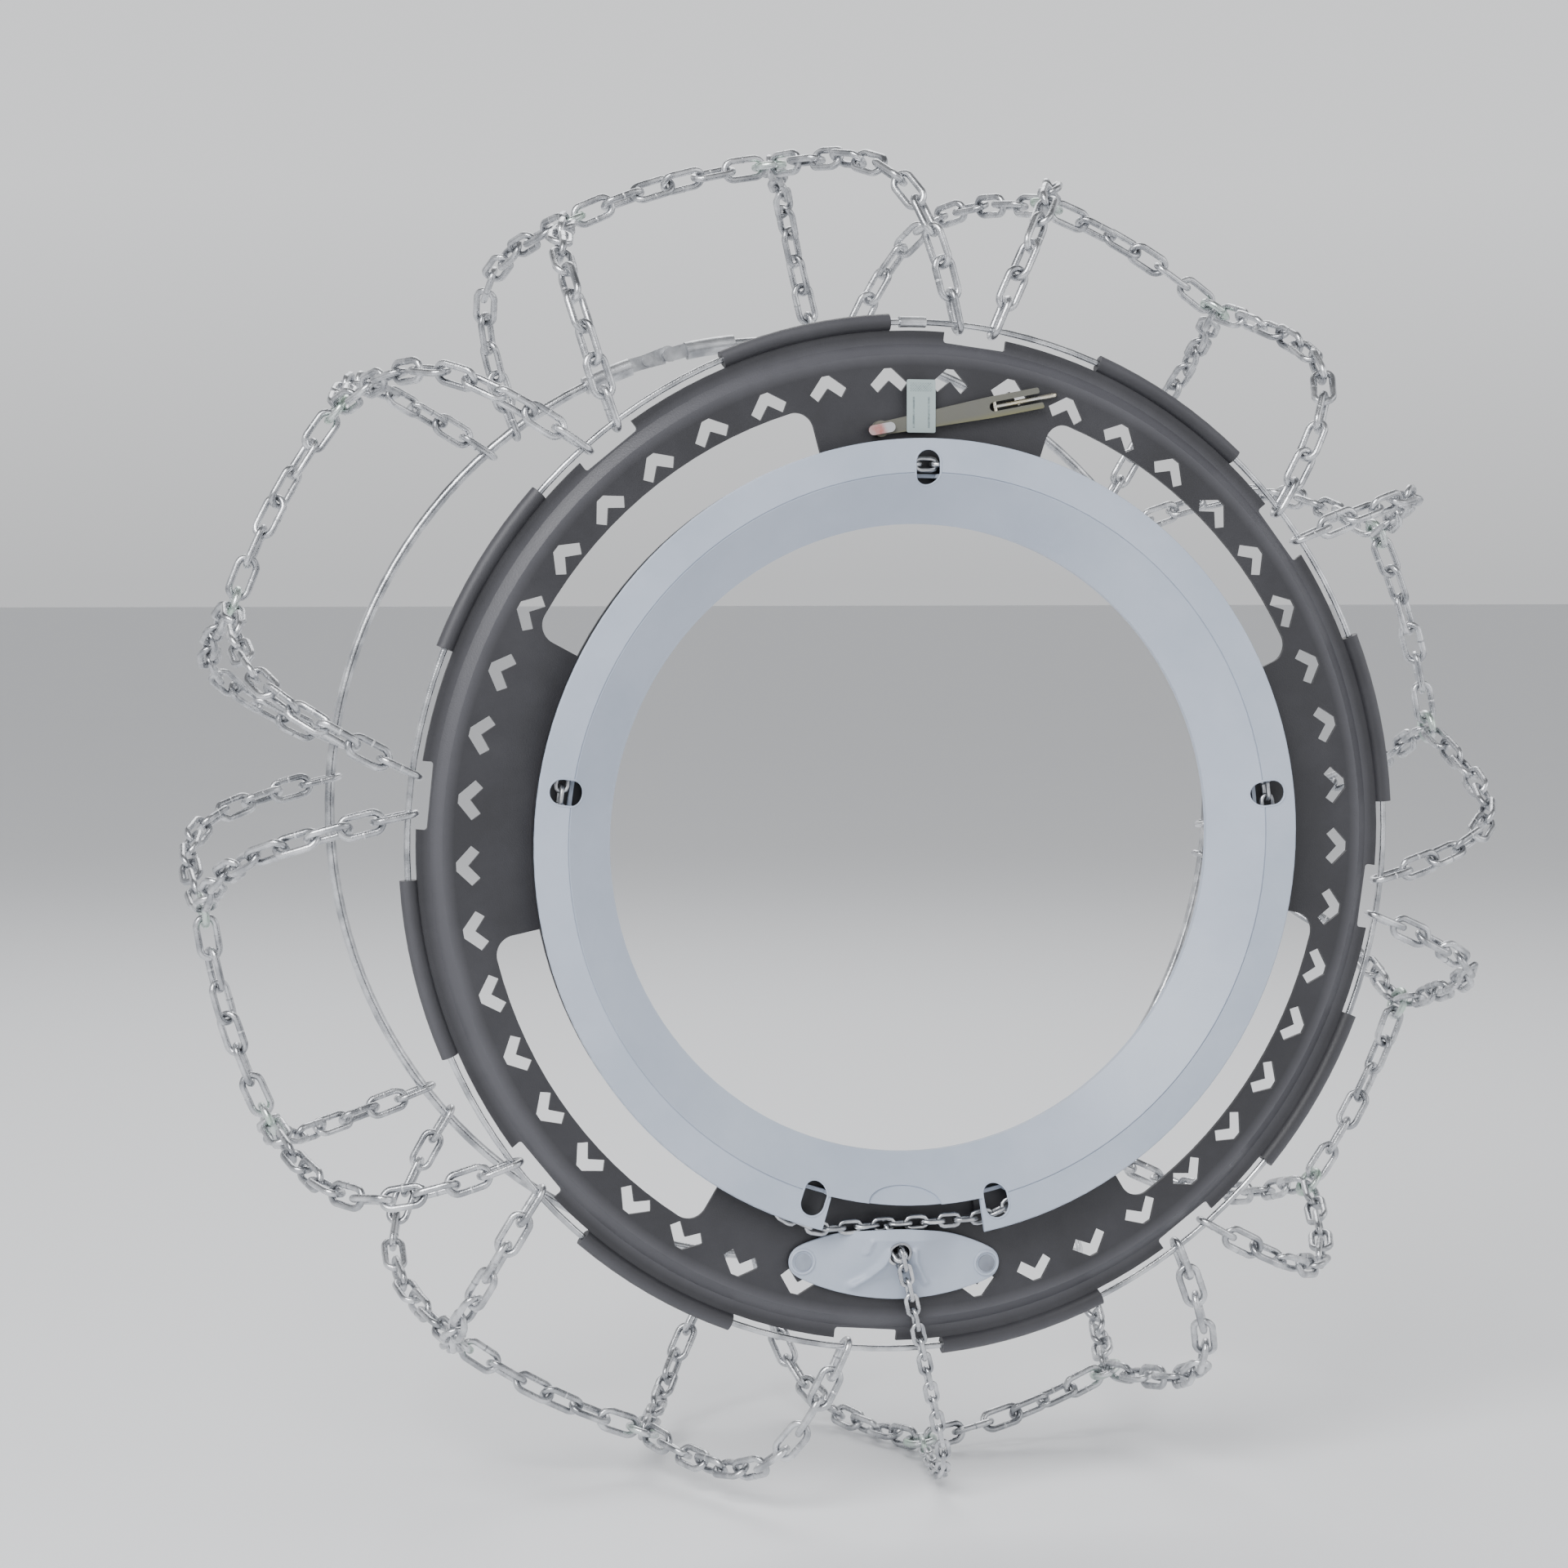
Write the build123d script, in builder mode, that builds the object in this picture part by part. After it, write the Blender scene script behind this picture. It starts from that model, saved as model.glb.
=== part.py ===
"""A self-tensioning snow chain for a car tyre, in the shape it has when it is fitted.

The origin is the tyre's centre. Y is the wheel's axle, and -Y is the side that faces away from the car.
Z is up. All sizes are millimetres.
"""
from build123d import *
import os
from math import atan2, cos, degrees, hypot, pi, radians, sin

os.makedirs("parts", exist_ok=True)

# ---- the tyre that the chain is made for ---------------------------------------------------------
tyre_radius = 316.0             # worn-in outside radius of a 195/65 R15 tyre
chain_stand = 6.5               # chain centre line above the tread
side_half_width = 108.0         # axle distance from the tyre's centre to each hoop
shoulder_squareness = 3.6       # exponent of the rounded shoulder that the legs lie on

# ---- tread chain ---------------------------------------------------------------------------------
tread_wire = 3.3
tread_pitch = 16.5              # inside length of a link
tread_width = 12.5              # outside width of a link
link_play = 0.4                 # least gap between two hooked bars
leg_links = 11
track_links = 6
net_first_angle = 39.0
net_step = 45.0
ring_wire = 3.6
ring_mean_radius = 7.0
leg_lean_roll = 40.0            # how far the links roll over in the middle of a leg

# ---- small chain of the tensioner ----------------------------------------------------------------
strand_wire = 2.2
strand_pitch = 8.5
strand_width = 7.6
strand_play = 0.35
shackle_wire = 2.6
shackle_pitch = 11.0
shackle_width = 10.6
strand_travel = 3.0             # how far the strand can be drawn out of the throat
tail_start_angle = 5.0          # the tail's run would cross the hoop this many degrees from the lock
strand_foot_width = 100.0       # axle distance at which the strand starts to bend over the shoulder

# ---- outer hoop and disc -------------------------------------------------------------------------
face_drop = 5.0                 # the fitted disc hangs this far below the axle
face_turn = -3.5                # the lock hangs this many degrees off the vertical
hoop_radius = 242.0
hoop_wire = 3.0
butt_gap = 0.3                  # degrees left open at the hoop's joint, inside its sleeve
v_angles = (38.0, 83.0, 129.0, 174.0, 219.0, 264.0, 306.0, 352.0)
v_spread = 9.3                  # each leg's distance from the middle of its V, along the hoop
missing_leg = (5, 1)            # the tensioner takes this leg's place
hem_radius = 4.0
hem_bore_play = 0.1
sheet_thickness = 2.0
sheet_outer_radius = 238.0
step_outer_radius = 231.0
step_inner_radius = 226.0
step_shift = 0.8                # the step's front face lies this much further out than its back
sheet_front = 5.0               # front face of the disc's middle, outboard of the hoop's plane
arm_inner_radius = 162.0
window_centre = 84.1
window_angle = 25.3
notch_inner_radius = 232.5
notch_half_width = 15.5
chevron_count = 45
chevron_first_angle = 89.5
chevron_radius = 216.0
chevron_half_width = 9.2
chevron_inner_half_width = 5.8
chevron_tip = 4.6               # its blunt tip, beyond the chevrons' circle
chevron_flat = 2.0              # half of the blunt tip
chevron_foot = -2.6             # the outer corner of each arm, inside the circle
chevron_bar = 5.4
lock_clear_angle = 6.0          # no chevrons this close to the lock's middle
cutout_radius = 208.0
cutout_angle = 47.0
cutout_centres = (132.0, 218.5, 328.5, 51.5)
cutout_corner = 9.0

# ---- cover ring and its carrier ------------------------------------------------------------------
ring_outer_radius = 187.4
ring_inner_radius = 148.0
seam_radius = 171.0
ring_wall = 1.8
cover_face = 18.0               # front face of the cover's flat rim
cover_inner_face = 0.8          # the cone's inner edge
lip_length = 3.0
lip_wall = 1.6
cone_depth = 2.4                # wall under the slope, along the axle
screw_boss_radius = 3.6
screw_hole_depth = 3.0
seam_width = 0.5
seam_depth = 0.45
scoop_size = (18.0, 10.5)
scoop_sink = 1.0
carrier_thickness = 2.0
carrier_inner_radius = 160.5
carrier_outer_radius = 186.0
gap_half_angle = 12.4
slot_radius = 174.0
slot_length = 17.0
slot_width = 12.4
slot_angles = (93.5, 175.0, 10.0, 255.0, 285.0)
screw_radius = 2.0
screw_head_radius = 3.8
screw_head_height = 1.6
screw_play = 0.05
screw_bite = 2.8                # how far each screw goes into the cover's boss
screw_socket_radius = 1.5
screw_socket_depth = 0.9
screw_circle = 164.5
screw_offset = 8.0              # degrees to each side of an arm's middle
arm_angles = (93.5, 175.0, 10.0, 270.0)

# ---- tension loop --------------------------------------------------------------------------------
loop_radius = 175.5
loop_level = 11.6
loop_gap_height = 180.4         # distance from the axle to the loop where it crosses the lock
loop_gap_slope = 0.077          # the loop is lower on its slack side
slack_blend_angle = 34.0
tight_blend_angle = 24.0

# ---- lock ----------------------------------------------------------------------------------------
lead_side = -6.5                # where the strand hooks into the loop, left of the lock's middle
lead_directions = ((0.45, -0.875, 0.175), (0.405, -0.747, 0.53))
lock_middle = -199.5
lock_join = 47.7
lock_half_height = 17.5
lock_tip_half_height = 7.5
base_thickness = 1.2
base_inset = 1.5
plate_thickness = 1.6
hood_half_width = 34.0
hood_crest_half_width = 9.0
hood_crest = 19.4
hood_wall = 1.7
plate_wall_least = 1.2          # the plate's wall at the foot of its hollow
lip_drop = 3.1                  # the throat's lower lip, inboard of the strand
throat_width = 9.4
throat_height = 9.6
throat_slot_width = 3.4
throat_slot_length = 6.2
eyelet_wall = 1.1
eyelet_rise = 0.6
boss_at = 45.6
boss_radius = 5.2
boss_rim = 0.9
boss_height = 0.7
rivet_head_radius = 4.0
rivet_head_height = 0.8
rivet_radius = 2.0
rivet_foot_radius = 3.4        # its flat head behind the disc
rivet_foot = 1.0
pawl_pin_radius = 0.9
pawl_pin_play = 0.06
pawl_hub_radius = 1.9
pawl_pivot = (-201.6, 8.3)      # height and level of the pawl's pin
pawl_side = (-3.9, 1.7)
pawl_reach = 7.6
pawl_rest_angle = 20.0
pawl_root_half_width = 1.8
pawl_tip_half_width = 0.7
pawl_tooth_height = 0.9
pawl_tooth_slope = (1.6, 0.9)
lug_inside = 4.4
lug_thickness = 1.3
lug_half_width = 2.2
lug_crown = 1.8                 # height of each lug above the pawl's pin
lug_root = 0.4                  # depth of each lug in the base
spring_wire = 0.5
spring_radius = 1.5
spring_turns = 3

# ---- closure strap and size tag ------------------------------------------------------------------
strap_rivet_at = (-20.0, 191.8)
strap_rivet_head = (13.0, 4.6)
strap_rivet_head_height = 1.4
strap_angle = 11.1
strap_length = 80.0
strap_root_half_width = 3.0
strap_tip_half_width = 5.0
strap_boss_radius = 3.8
strap_thickness = 3.6
strap_corner = 0.9
strap_play = 0.15
strap_slot_start = 55.5
strap_slot_width = 4.4
hook_wire = 2.2
hook_pin_radius = 1.0
hook_pin_half_length = 4.0
hook_pin_play = 0.06
hook_pin_at = 57.6
hook_length = 88.6
hook_bend = 1.6
tag_size = (14.0, 24.6)
tag_thickness = 0.5
tag_middle = (-0.6, 202.5)

# ---- inner hoop ----------------------------------------------------------------------------------
inner_hoop_wire = 5.0
coupling_angle = 106.5
ferrule_face = 3.7              # degrees from the coupling's middle to each ferrule's end
ferrule_cap = 0.8
ferrule_angle = 6.2
ferrule_radius = 4.6
coupling_reach = 6.5            # each pin's distance from the coupling's middle
lug_half_thickness = 1.5
lug_end_radius = 3.6
latch_thickness = 2.0
latch_gap = 0.2
latch_pin_radius = 1.5
latch_pin_play = 0.06
post_radius = 1.8
post_play = 0.1
sleeve_angle = 90.5
sleeve_radius = 2.6
sleeve_half_angle = 1.5

# ---- values worked out from the sizes above ------------------------------------------------------
chain_radius = tyre_radius + chain_stand
sheet_back = sheet_front - sheet_thickness
carrier_face = sheet_front + carrier_thickness
cone_slope = (cover_face - cover_inner_face) / (seam_radius - ring_inner_radius)
base_face = sheet_front + base_thickness
plate_face = base_face + plate_thickness
strand_step = strand_pitch - strand_play
strap_back = sheet_front + strap_play
strap_face = strap_back + strap_thickness


def hook_offset(pitch, other_wire, play):
    """Distance from the middle of a bar to the centre of a link that is hooked on it and pulled tight."""
    return pitch / 2 - other_wire / 2 - play


ring_reach = ring_mean_radius + hook_offset(tread_pitch, ring_wire, link_play)
track_step = tread_pitch - link_play
track_chord = 2 * ring_reach + (track_links - 1) * track_step
track_angle = degrees(2 * atan2(track_chord / 2, chain_radius))
diamond_half_angle = (net_step - track_angle) / 2


def face_plane(level, turn=face_turn):
    """A plane facing away from the car, with its origin at the disc's centre and v pointing up."""
    a = radians(turn)
    return Plane(origin=(0, -side_half_width - level, -face_drop), x_dir=(cos(a), 0, sin(a)),
                 z_dir=(0, -1, 0))


def on_face(u, v, level, turn=face_turn):
    """A point given in the disc's own directions."""
    return face_plane(level, turn).from_local_coords(Vector(u, v, 0))


section_plane = Plane(origin=(0, -side_half_width, -face_drop), x_dir=(1, 0, 0), z_dir=(0, 0, 1))
face_axis = Axis((0, -side_half_width, -face_drop), (0, -1, 0))


def polar(radius, angle):
    """Plane coordinates of a point at a radius and an angle in degrees."""
    return (radius * cos(radians(angle)), radius * sin(radians(angle)))


def in_section(points):
    """Section corners as (radius, level) turned into the section plane's coordinates."""
    return [(radius, -level) for radius, level in points]


def save(shape, name):
    """Label a finished piece and write it to its own file."""
    shape.label = name
    export_step(shape, f"parts/{name}.step")


def save_group(solids, name):
    """Write several separate solids as one piece."""
    save(Compound(children=list(solids)), name)


# ---- chain links ---------------------------------------------------------------------------------
def chain_link(wire, pitch, width):
    """One oval link lying flat, with its length along X and its width along Y."""
    bend = (width - wire) / 2
    straight = (pitch + wire) / 2 - bend
    with BuildPart() as link:
        with BuildLine():
            Line((-straight, bend), (straight, bend))
            ThreePointArc((straight, bend), (straight + bend, 0), (straight, -bend))
            Line((straight, -bend), (-straight, -bend))
            ThreePointArc((-straight, -bend), (-straight - bend, 0), (-straight, bend))
        with BuildSketch(Plane(origin=(-straight, bend, 0), z_dir=(1, 0, 0))):
            Circle(wire / 2)
        sweep()
    return link.part.solid()


tread_link = chain_link(tread_wire, tread_pitch, tread_width)
strand_link = chain_link(strand_wire, strand_pitch, strand_width)
shackle_link = chain_link(shackle_wire, shackle_pitch, shackle_width)


def place_link(link, start, end, out, roll):
    """A copy of a link between two points. At roll 0 its width points out, away from the tyre."""
    along = (end - start).normalized()
    out = (out - along * out.dot(along)).normalized()
    side = along.cross(out)
    width = out * cos(radians(roll)) + side * sin(radians(roll))
    seat = Plane(origin=(start + end) * 0.5, x_dir=along, z_dir=along.cross(width))
    return link.moved(seat.location)


def walk(points, distance):
    """The point at a distance along a run of points; it goes straight on past either end."""
    travelled = 0.0
    for first, second in zip(points, points[1:]):
        piece = (second - first).length
        if distance <= travelled + piece or second is points[-1]:
            return first + (second - first) * ((distance - travelled) / piece)
        travelled += piece
    return points[-1]


def run_length(points):
    """The length of a run of points."""
    return sum((b - a).length for a, b in zip(points, points[1:]))


def surface_profile(samples=120):
    """Radius, axle distance and outward direction along the rounded tyre shoulder, hoop to tread."""
    power = 2 / shoulder_squareness
    spots = []
    for i in range(samples + 1):
        t = pi / 2 * i / samples
        radius = hoop_radius + (chain_radius - hoop_radius) * sin(t) ** power
        width = side_half_width * max(cos(t), 0.0) ** power
        spots.append((radius, width))
    return spots


shoulder = surface_profile()
shoulder_length = sum(hypot(b[0] - a[0], b[1] - a[1]) for a, b in zip(shoulder, shoulder[1:]))


def leg_run(side, hoop_angle, tread_angle, drop):
    """Points from a hoop over the shoulder to the middle of the tread, with the outward directions."""
    points, outs, travelled = [], [], 0.0
    for i, (radius, width) in enumerate(shoulder):
        if i:
            travelled += hypot(radius - shoulder[i - 1][0], width - shoulder[i - 1][1])
        share = travelled / shoulder_length
        angle = radians(hoop_angle + (tread_angle - hoop_angle) * share)
        points.append(Vector(radius * cos(angle), side * width, radius * sin(angle) - drop * (1 - share)))
        ahead = shoulder[min(i + 1, len(shoulder) - 1)]
        behind = shoulder[max(i - 1, 0)]
        rise, across = ahead[0] - behind[0], behind[1] - ahead[1]
        outs.append(Vector(across * cos(angle), side * rise, across * sin(angle)).normalized())
    return points, outs


def lay_chain(link, points, out_at, first_centre, last_centre, count, roll_at):
    """Links in a row, whose centres are spread evenly between two distances along a run."""
    step = (last_centre - first_centre) / (count - 1)
    links = []
    for i in range(count):
        middle = first_centre + i * step
        start = walk(points, middle - step / 2)
        end = walk(points, middle + step / 2)
        links.append(place_link(link, start, end, out_at((start + end) * 0.5), roll_at(i)))
    return links


def nearest_out(points, outs):
    """A function that gives the outward direction at the run point closest to a place."""
    def out_at(place):
        index = min(range(len(points)), key=lambda i: (points[i] - place).length)
        return outs[index]
    return out_at


def leg_roll(count):
    """Each link is a quarter turn from the last, and the middle of the leg leans over."""
    def roll_at(i):
        share = i / (count - 1)
        ramp = min(1.0, 3.3 * min(share, 1 - share))
        return 90 * i + leg_lean_roll * ramp * ramp * (3 - 2 * ramp)
    return roll_at


def tread_leg(side, hoop_angle, tread_angle, drop, hoop_bar):
    """One leg of a V, from its hoop to its ring on the tread."""
    points, outs = leg_run(side, hoop_angle, tread_angle, drop)
    total = run_length(points)
    first = hook_offset(tread_pitch, hoop_bar, link_play)
    return lay_chain(tread_link, points, nearest_out(points, outs), first, total - ring_reach,
                     leg_links, leg_roll(leg_links))


def net_angle(index, hand):
    """The angle of a tread ring: V number, and -1 or 1 for its right or left ring."""
    return net_first_angle + net_step * index + hand * diamond_half_angle


v_half_angle = degrees(v_spread / hoop_radius)
for index, v_angle in enumerate(v_angles):
    outer, inner = [], []
    for hand in (-1, 1):
        tread_angle = net_angle(index, hand)
        if (index, hand) != (missing_leg[0], missing_leg[1]):
            outer += tread_leg(-1, v_angle + hand * v_half_angle, tread_angle, face_drop, hoop_wire)
        inner_v = net_first_angle + net_step * index + hand * v_half_angle
        inner += tread_leg(1, inner_v, tread_angle, 0.0, inner_hoop_wire)
    save_group(outer, f"outer_v_{index + 1}")
    save_group(inner, f"inner_v_{index + 1}")

# Rings that tie two legs and a track chain together on the tread.
with BuildPart() as one_ring:
    with BuildSketch(Plane.XZ):
        with Locations((ring_mean_radius, 0)):
            Circle(ring_wire / 2)
    revolve(axis=Axis.Z)
rings = []
for index in range(len(v_angles)):
    for hand in (-1, 1):
        a = radians(net_angle(index, hand))
        out = Vector(cos(a), 0, sin(a))
        seat = Plane(origin=out * chain_radius, x_dir=(0, 1, 0), z_dir=out)
        rings.append(one_ring.part.solid().moved(seat.location))
save_group(rings, "tread_rings")

# Track chains along the middle of the tread, from each V to the next.
for index in range(len(v_angles)):
    first_angle = net_angle(index, 1)
    spots = []
    for i in range(25):
        a = radians(first_angle + track_angle * i / 24)
        spots.append(Vector(cos(a), 0, sin(a)) * chain_radius)
    total = run_length(spots)
    track = lay_chain(tread_link, spots, lambda place: place.normalized(), ring_reach, total - ring_reach,
                      track_links, lambda i: 360 / (track_links - 1) * i)
    save_group(track, f"track_chain_{index + 1}")

# ---- outer hoop ----------------------------------------------------------------------------------
def radial_section(angle, side, drop):
    """A section plane through the axle at an angle, with X outwards and Y along the axle."""
    a = radians(angle)
    return Plane(origin=(0, side * side_half_width, -drop), x_dir=(cos(a), 0, sin(a)),
                 z_dir=(-sin(a), 0, cos(a)))


with BuildPart() as outer_hoop:
    with BuildSketch(radial_section(sleeve_angle + butt_gap / 2, -1, face_drop)):
        with Locations((hoop_radius, 0)):
            Circle(hoop_wire / 2)
    revolve(axis=face_axis, revolution_arc=360 - butt_gap)
save(outer_hoop.part, "outer_hoop")

# Crimped sleeve over the hoop's joint.
with BuildPart() as hoop_sleeve:
    with BuildSketch(radial_section(sleeve_angle - sleeve_half_angle, -1, face_drop)):
        with Locations((hoop_radius, 0)):
            Circle(sleeve_radius)
            Circle(hoop_wire / 2, mode=Mode.SUBTRACT)
    revolve(axis=face_axis, revolution_arc=2 * sleeve_half_angle)
save(hoop_sleeve.part, "hoop_sleeve")

# ---- disc ----------------------------------------------------------------------------------------
half_sheet = sheet_thickness / 2
with BuildPart() as disc:
    with BuildSketch(section_plane):
        with BuildLine():
            Polyline(*in_section([
                (arm_inner_radius, sheet_back), (step_inner_radius, sheet_back),
                (step_outer_radius, -half_sheet), (hoop_radius, -half_sheet), (hoop_radius, half_sheet),
                (step_outer_radius + step_shift, half_sheet), (step_inner_radius + step_shift, sheet_front),
                (arm_inner_radius, sheet_front)]), close=True)
        make_face()
        with Locations((hoop_radius, 0)):
            Circle(hem_radius)
            Circle(hoop_wire / 2 + hem_bore_play, mode=Mode.SUBTRACT)
    revolve(axis=face_axis)
    # windows in the hem, where the hoop lies open
    with BuildSketch(face_plane(-hem_radius - 1)):
        for k in range(len(v_angles)):
            middle = window_centre + net_step * k
            a, b = middle - window_angle / 2, middle + window_angle / 2
            with BuildLine():
                Polyline(polar(sheet_outer_radius, a), polar(hoop_radius + 8, a))
                ThreePointArc(polar(hoop_radius + 8, a), polar(hoop_radius + 8, middle),
                              polar(hoop_radius + 8, b))
                Line(polar(hoop_radius + 8, b), polar(sheet_outer_radius, b))
                ThreePointArc(polar(sheet_outer_radius, b), polar(sheet_outer_radius, middle),
                              polar(sheet_outer_radius, a))
            make_face()
    extrude(amount=2 * hem_radius + 2, mode=Mode.SUBTRACT)
    # notches that let the end links of each V swing round the hoop
    with BuildSketch(face_plane(-hem_radius - 1)):
        for v_angle in v_angles:
            local = v_angle - face_turn
            depth = hoop_radius - notch_inner_radius
            with Locations(Location((*polar(notch_inner_radius + depth / 2, local), 0), (0, 0, local - 90))):
                RectangleRounded(2 * notch_half_width, depth, 1.5)
    extrude(amount=2 * hem_radius + 2, mode=Mode.SUBTRACT)
    # chevron openings, apex outwards
    with BuildSketch(face_plane(sheet_back - 1)):
        foot_drop, bar_drop = chevron_bar * 0.74, chevron_bar * 1.08
        spots = [chevron_first_angle + 360 / chevron_count * i for i in range(chevron_count)]
        open_spots = [a for a in spots if abs((a - 270 + 180) % 360 - 180) > lock_clear_angle]
        with Locations(*[Location((*polar(chevron_radius, a), 0), (0, 0, a)) for a in open_spots]):
            Polygon((chevron_tip, -chevron_flat), (chevron_tip, chevron_flat),
                    (chevron_foot, chevron_half_width), (chevron_foot - foot_drop, chevron_inner_half_width),
                    (chevron_tip - bar_drop, 0), (chevron_foot - foot_drop, -chevron_inner_half_width),
                    (chevron_foot, -chevron_half_width), align=None)
    extrude(amount=sheet_thickness + 2, mode=Mode.SUBTRACT)
    # crescents where the wheel's edge shows, which leave four arms under the cover ring
    with BuildSketch(face_plane(sheet_back - 1)) as crescents:
        for middle in cutout_centres:
            a, b = middle - cutout_angle / 2, middle + cutout_angle / 2
            with BuildLine():
                Line(polar(arm_inner_radius - 4, a), polar(cutout_radius, a))
                ThreePointArc(polar(cutout_radius, a), polar(cutout_radius, middle), polar(cutout_radius, b))
                Line(polar(cutout_radius, b), polar(arm_inner_radius - 4, b))
                ThreePointArc(polar(arm_inner_radius - 4, b), polar(arm_inner_radius - 4, middle),
                              polar(arm_inner_radius - 4, a))
            make_face()
        fillet([p for p in crescents.vertices() if hypot(p.X, p.Y) > ring_outer_radius], cutout_corner)
    extrude(amount=sheet_thickness + 2, mode=Mode.SUBTRACT)
    # holes for the ring screws, the lock's rivets and the strap's rivet
    screw_spots = [polar(screw_circle, arm + hand * screw_offset) for arm in arm_angles for hand in (-1, 1)]
    with BuildSketch(face_plane(sheet_back - 1)):
        with Locations(*screw_spots):
            Circle(screw_radius)
        with Locations((-boss_at, lock_middle), (boss_at, lock_middle)):
            Circle(rivet_radius)
    extrude(amount=sheet_thickness + 2, mode=Mode.SUBTRACT)
    with BuildSketch(face_plane(sheet_back - 1, 0)):
        with Locations(strap_rivet_at):
            Circle(rivet_radius)
    extrude(amount=sheet_thickness + 2, mode=Mode.SUBTRACT)
save(disc.part, "disc")

# ---- carrier and cover ring ----------------------------------------------------------------------
def gap_outline():
    """Edges of the space over the lock, where carrier and rim are cut away."""
    start, end, beyond = 270 - gap_half_angle, 270 + gap_half_angle, seam_radius + 30
    with BuildLine(Plane.XY) as outline:
        Polyline(polar(seam_radius, start), polar(beyond, start), polar(beyond, end), polar(seam_radius, end))
        ThreePointArc(polar(seam_radius, end), polar(seam_radius, 270), polar(seam_radius, start))
    return outline.edges()


with BuildPart() as ring_carrier:
    with BuildSketch(face_plane(sheet_front)):
        Circle(carrier_outer_radius)
        Circle(carrier_inner_radius, mode=Mode.SUBTRACT)
        with Locations(*screw_spots):
            Circle(screw_radius, mode=Mode.SUBTRACT)
        make_face(gap_outline(), mode=Mode.SUBTRACT)
    extrude(amount=carrier_thickness)
save(ring_carrier.part, "ring_carrier")


def cone_level(radius):
    """Level of the cover's sloping face at a radius."""
    return cover_face - (seam_radius - radius) * cone_slope


wall_inside = seam_radius - ring_wall
lip_outside = ring_inner_radius + lip_wall
with BuildPart() as cover_ring:
    # bosses for the screws, cut off along the slope inside its wall
    with BuildSketch(face_plane(carrier_face)):
        with Locations(*screw_spots):
            Circle(screw_boss_radius)
    extrude(amount=cover_face - carrier_face)
    with BuildSketch(section_plane):
        Polygon(*in_section([
            (ring_inner_radius, cover_inner_face - cone_depth / 2),
            (seam_radius, cover_face - cone_depth / 2),
            (seam_radius, cover_face + 1), (ring_inner_radius, cover_face + 1)]), align=None)
    revolve(axis=face_axis, mode=Mode.SUBTRACT)
    # rim, slope and lip
    with BuildSketch(section_plane):
        with BuildLine():
            Polyline(*in_section([
                (ring_inner_radius, cover_inner_face), (seam_radius, cover_face),
                (ring_outer_radius, cover_face), (ring_outer_radius, cover_face - ring_wall),
                (seam_radius, cover_face - ring_wall), (seam_radius, carrier_face),
                (wall_inside, carrier_face), (wall_inside, cone_level(wall_inside) - cone_depth),
                (lip_outside, cone_level(lip_outside) - cone_depth),
                (lip_outside, cover_inner_face - lip_length),
                (ring_inner_radius, cover_inner_face - lip_length)]), close=True)
        make_face()
    revolve(axis=face_axis)
    rim_edges = cover_ring.edges().filter_by(GeomType.CIRCLE)
    fillet([e for e in rim_edges if abs(e.radius - ring_outer_radius) < 0.01], ring_wall * 0.4)
    # holes in the bosses
    with BuildSketch(face_plane(carrier_face)):
        with Locations(*screw_spots):
            Circle(screw_radius)
    extrude(amount=screw_hole_depth, mode=Mode.SUBTRACT)
    # the rim is cut away over the lock
    with BuildSketch(face_plane(carrier_face)):
        make_face(gap_outline())
    extrude(amount=cover_face, mode=Mode.SUBTRACT)
    # a fine seam where the flat rim meets the slope
    with BuildSketch(section_plane):
        with Locations((seam_radius + seam_width, -cover_face)):
            Rectangle(seam_width, 2 * seam_depth)
    revolve(axis=face_axis, mode=Mode.SUBTRACT)
    # thumb scoop above the lock
    scoop_origin = on_face(0, -seam_radius, cover_face - scoop_sink)
    down_slope = (on_face(0, -ring_inner_radius, cone_level(ring_inner_radius)) -
                  on_face(0, -seam_radius, cover_face)).normalized()
    sideways = (on_face(1, 0, 0) - on_face(0, 0, 0)).normalized()
    with BuildSketch(Plane(origin=scoop_origin, x_dir=sideways, z_dir=sideways.cross(down_slope))):
        Ellipse(*scoop_size)
    extrude(amount=6, mode=Mode.SUBTRACT)
    # oval windows over the tension loop
    for angle in slot_angles:
        with BuildSketch(face_plane(carrier_face + 2.2)):
            with Locations(Location((*polar(slot_radius, angle), 0), (0, 0, angle))):
                SlotOverall(slot_length, slot_width)
        extrude(amount=cover_face, mode=Mode.SUBTRACT)
save(cover_ring.part, "cover_ring")

# ---- ring screws ---------------------------------------------------------------------------------
screws = []
for spot in screw_spots:
    with BuildPart() as screw:
        with BuildSketch(face_plane(sheet_back - screw_head_height)):
            with Locations(spot):
                Circle(screw_head_radius)
        extrude(amount=screw_head_height)
        with BuildSketch(face_plane(sheet_back)):
            with Locations(spot):
                Circle(screw_radius - screw_play)
        extrude(amount=sheet_thickness + carrier_thickness + screw_bite)
        with BuildSketch(face_plane(sheet_back - screw_head_height)):
            with Locations(spot):
                RegularPolygon(screw_socket_radius, 6)
        extrude(amount=screw_socket_depth, mode=Mode.SUBTRACT)
    screws.append(screw.part.solid())
save_group(screws, "ring_screws")

# ---- tension loop --------------------------------------------------------------------------------
def loop_reach(off):
    """Radius of the tension loop at an angle from the lock. It runs straight across the gap."""
    edge = max(-gap_half_angle, min(gap_half_angle, off))
    edge_reach = loop_gap_height / (cos(radians(edge)) + loop_gap_slope * sin(radians(edge)))
    if edge == off:
        return edge_reach
    blend = slack_blend_angle if off < 0 else tight_blend_angle
    share = min(1.0, (abs(off) - gap_half_angle) / (blend - gap_half_angle))
    return edge_reach + (loop_radius - edge_reach) * share * share * (3 - 2 * share)


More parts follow.
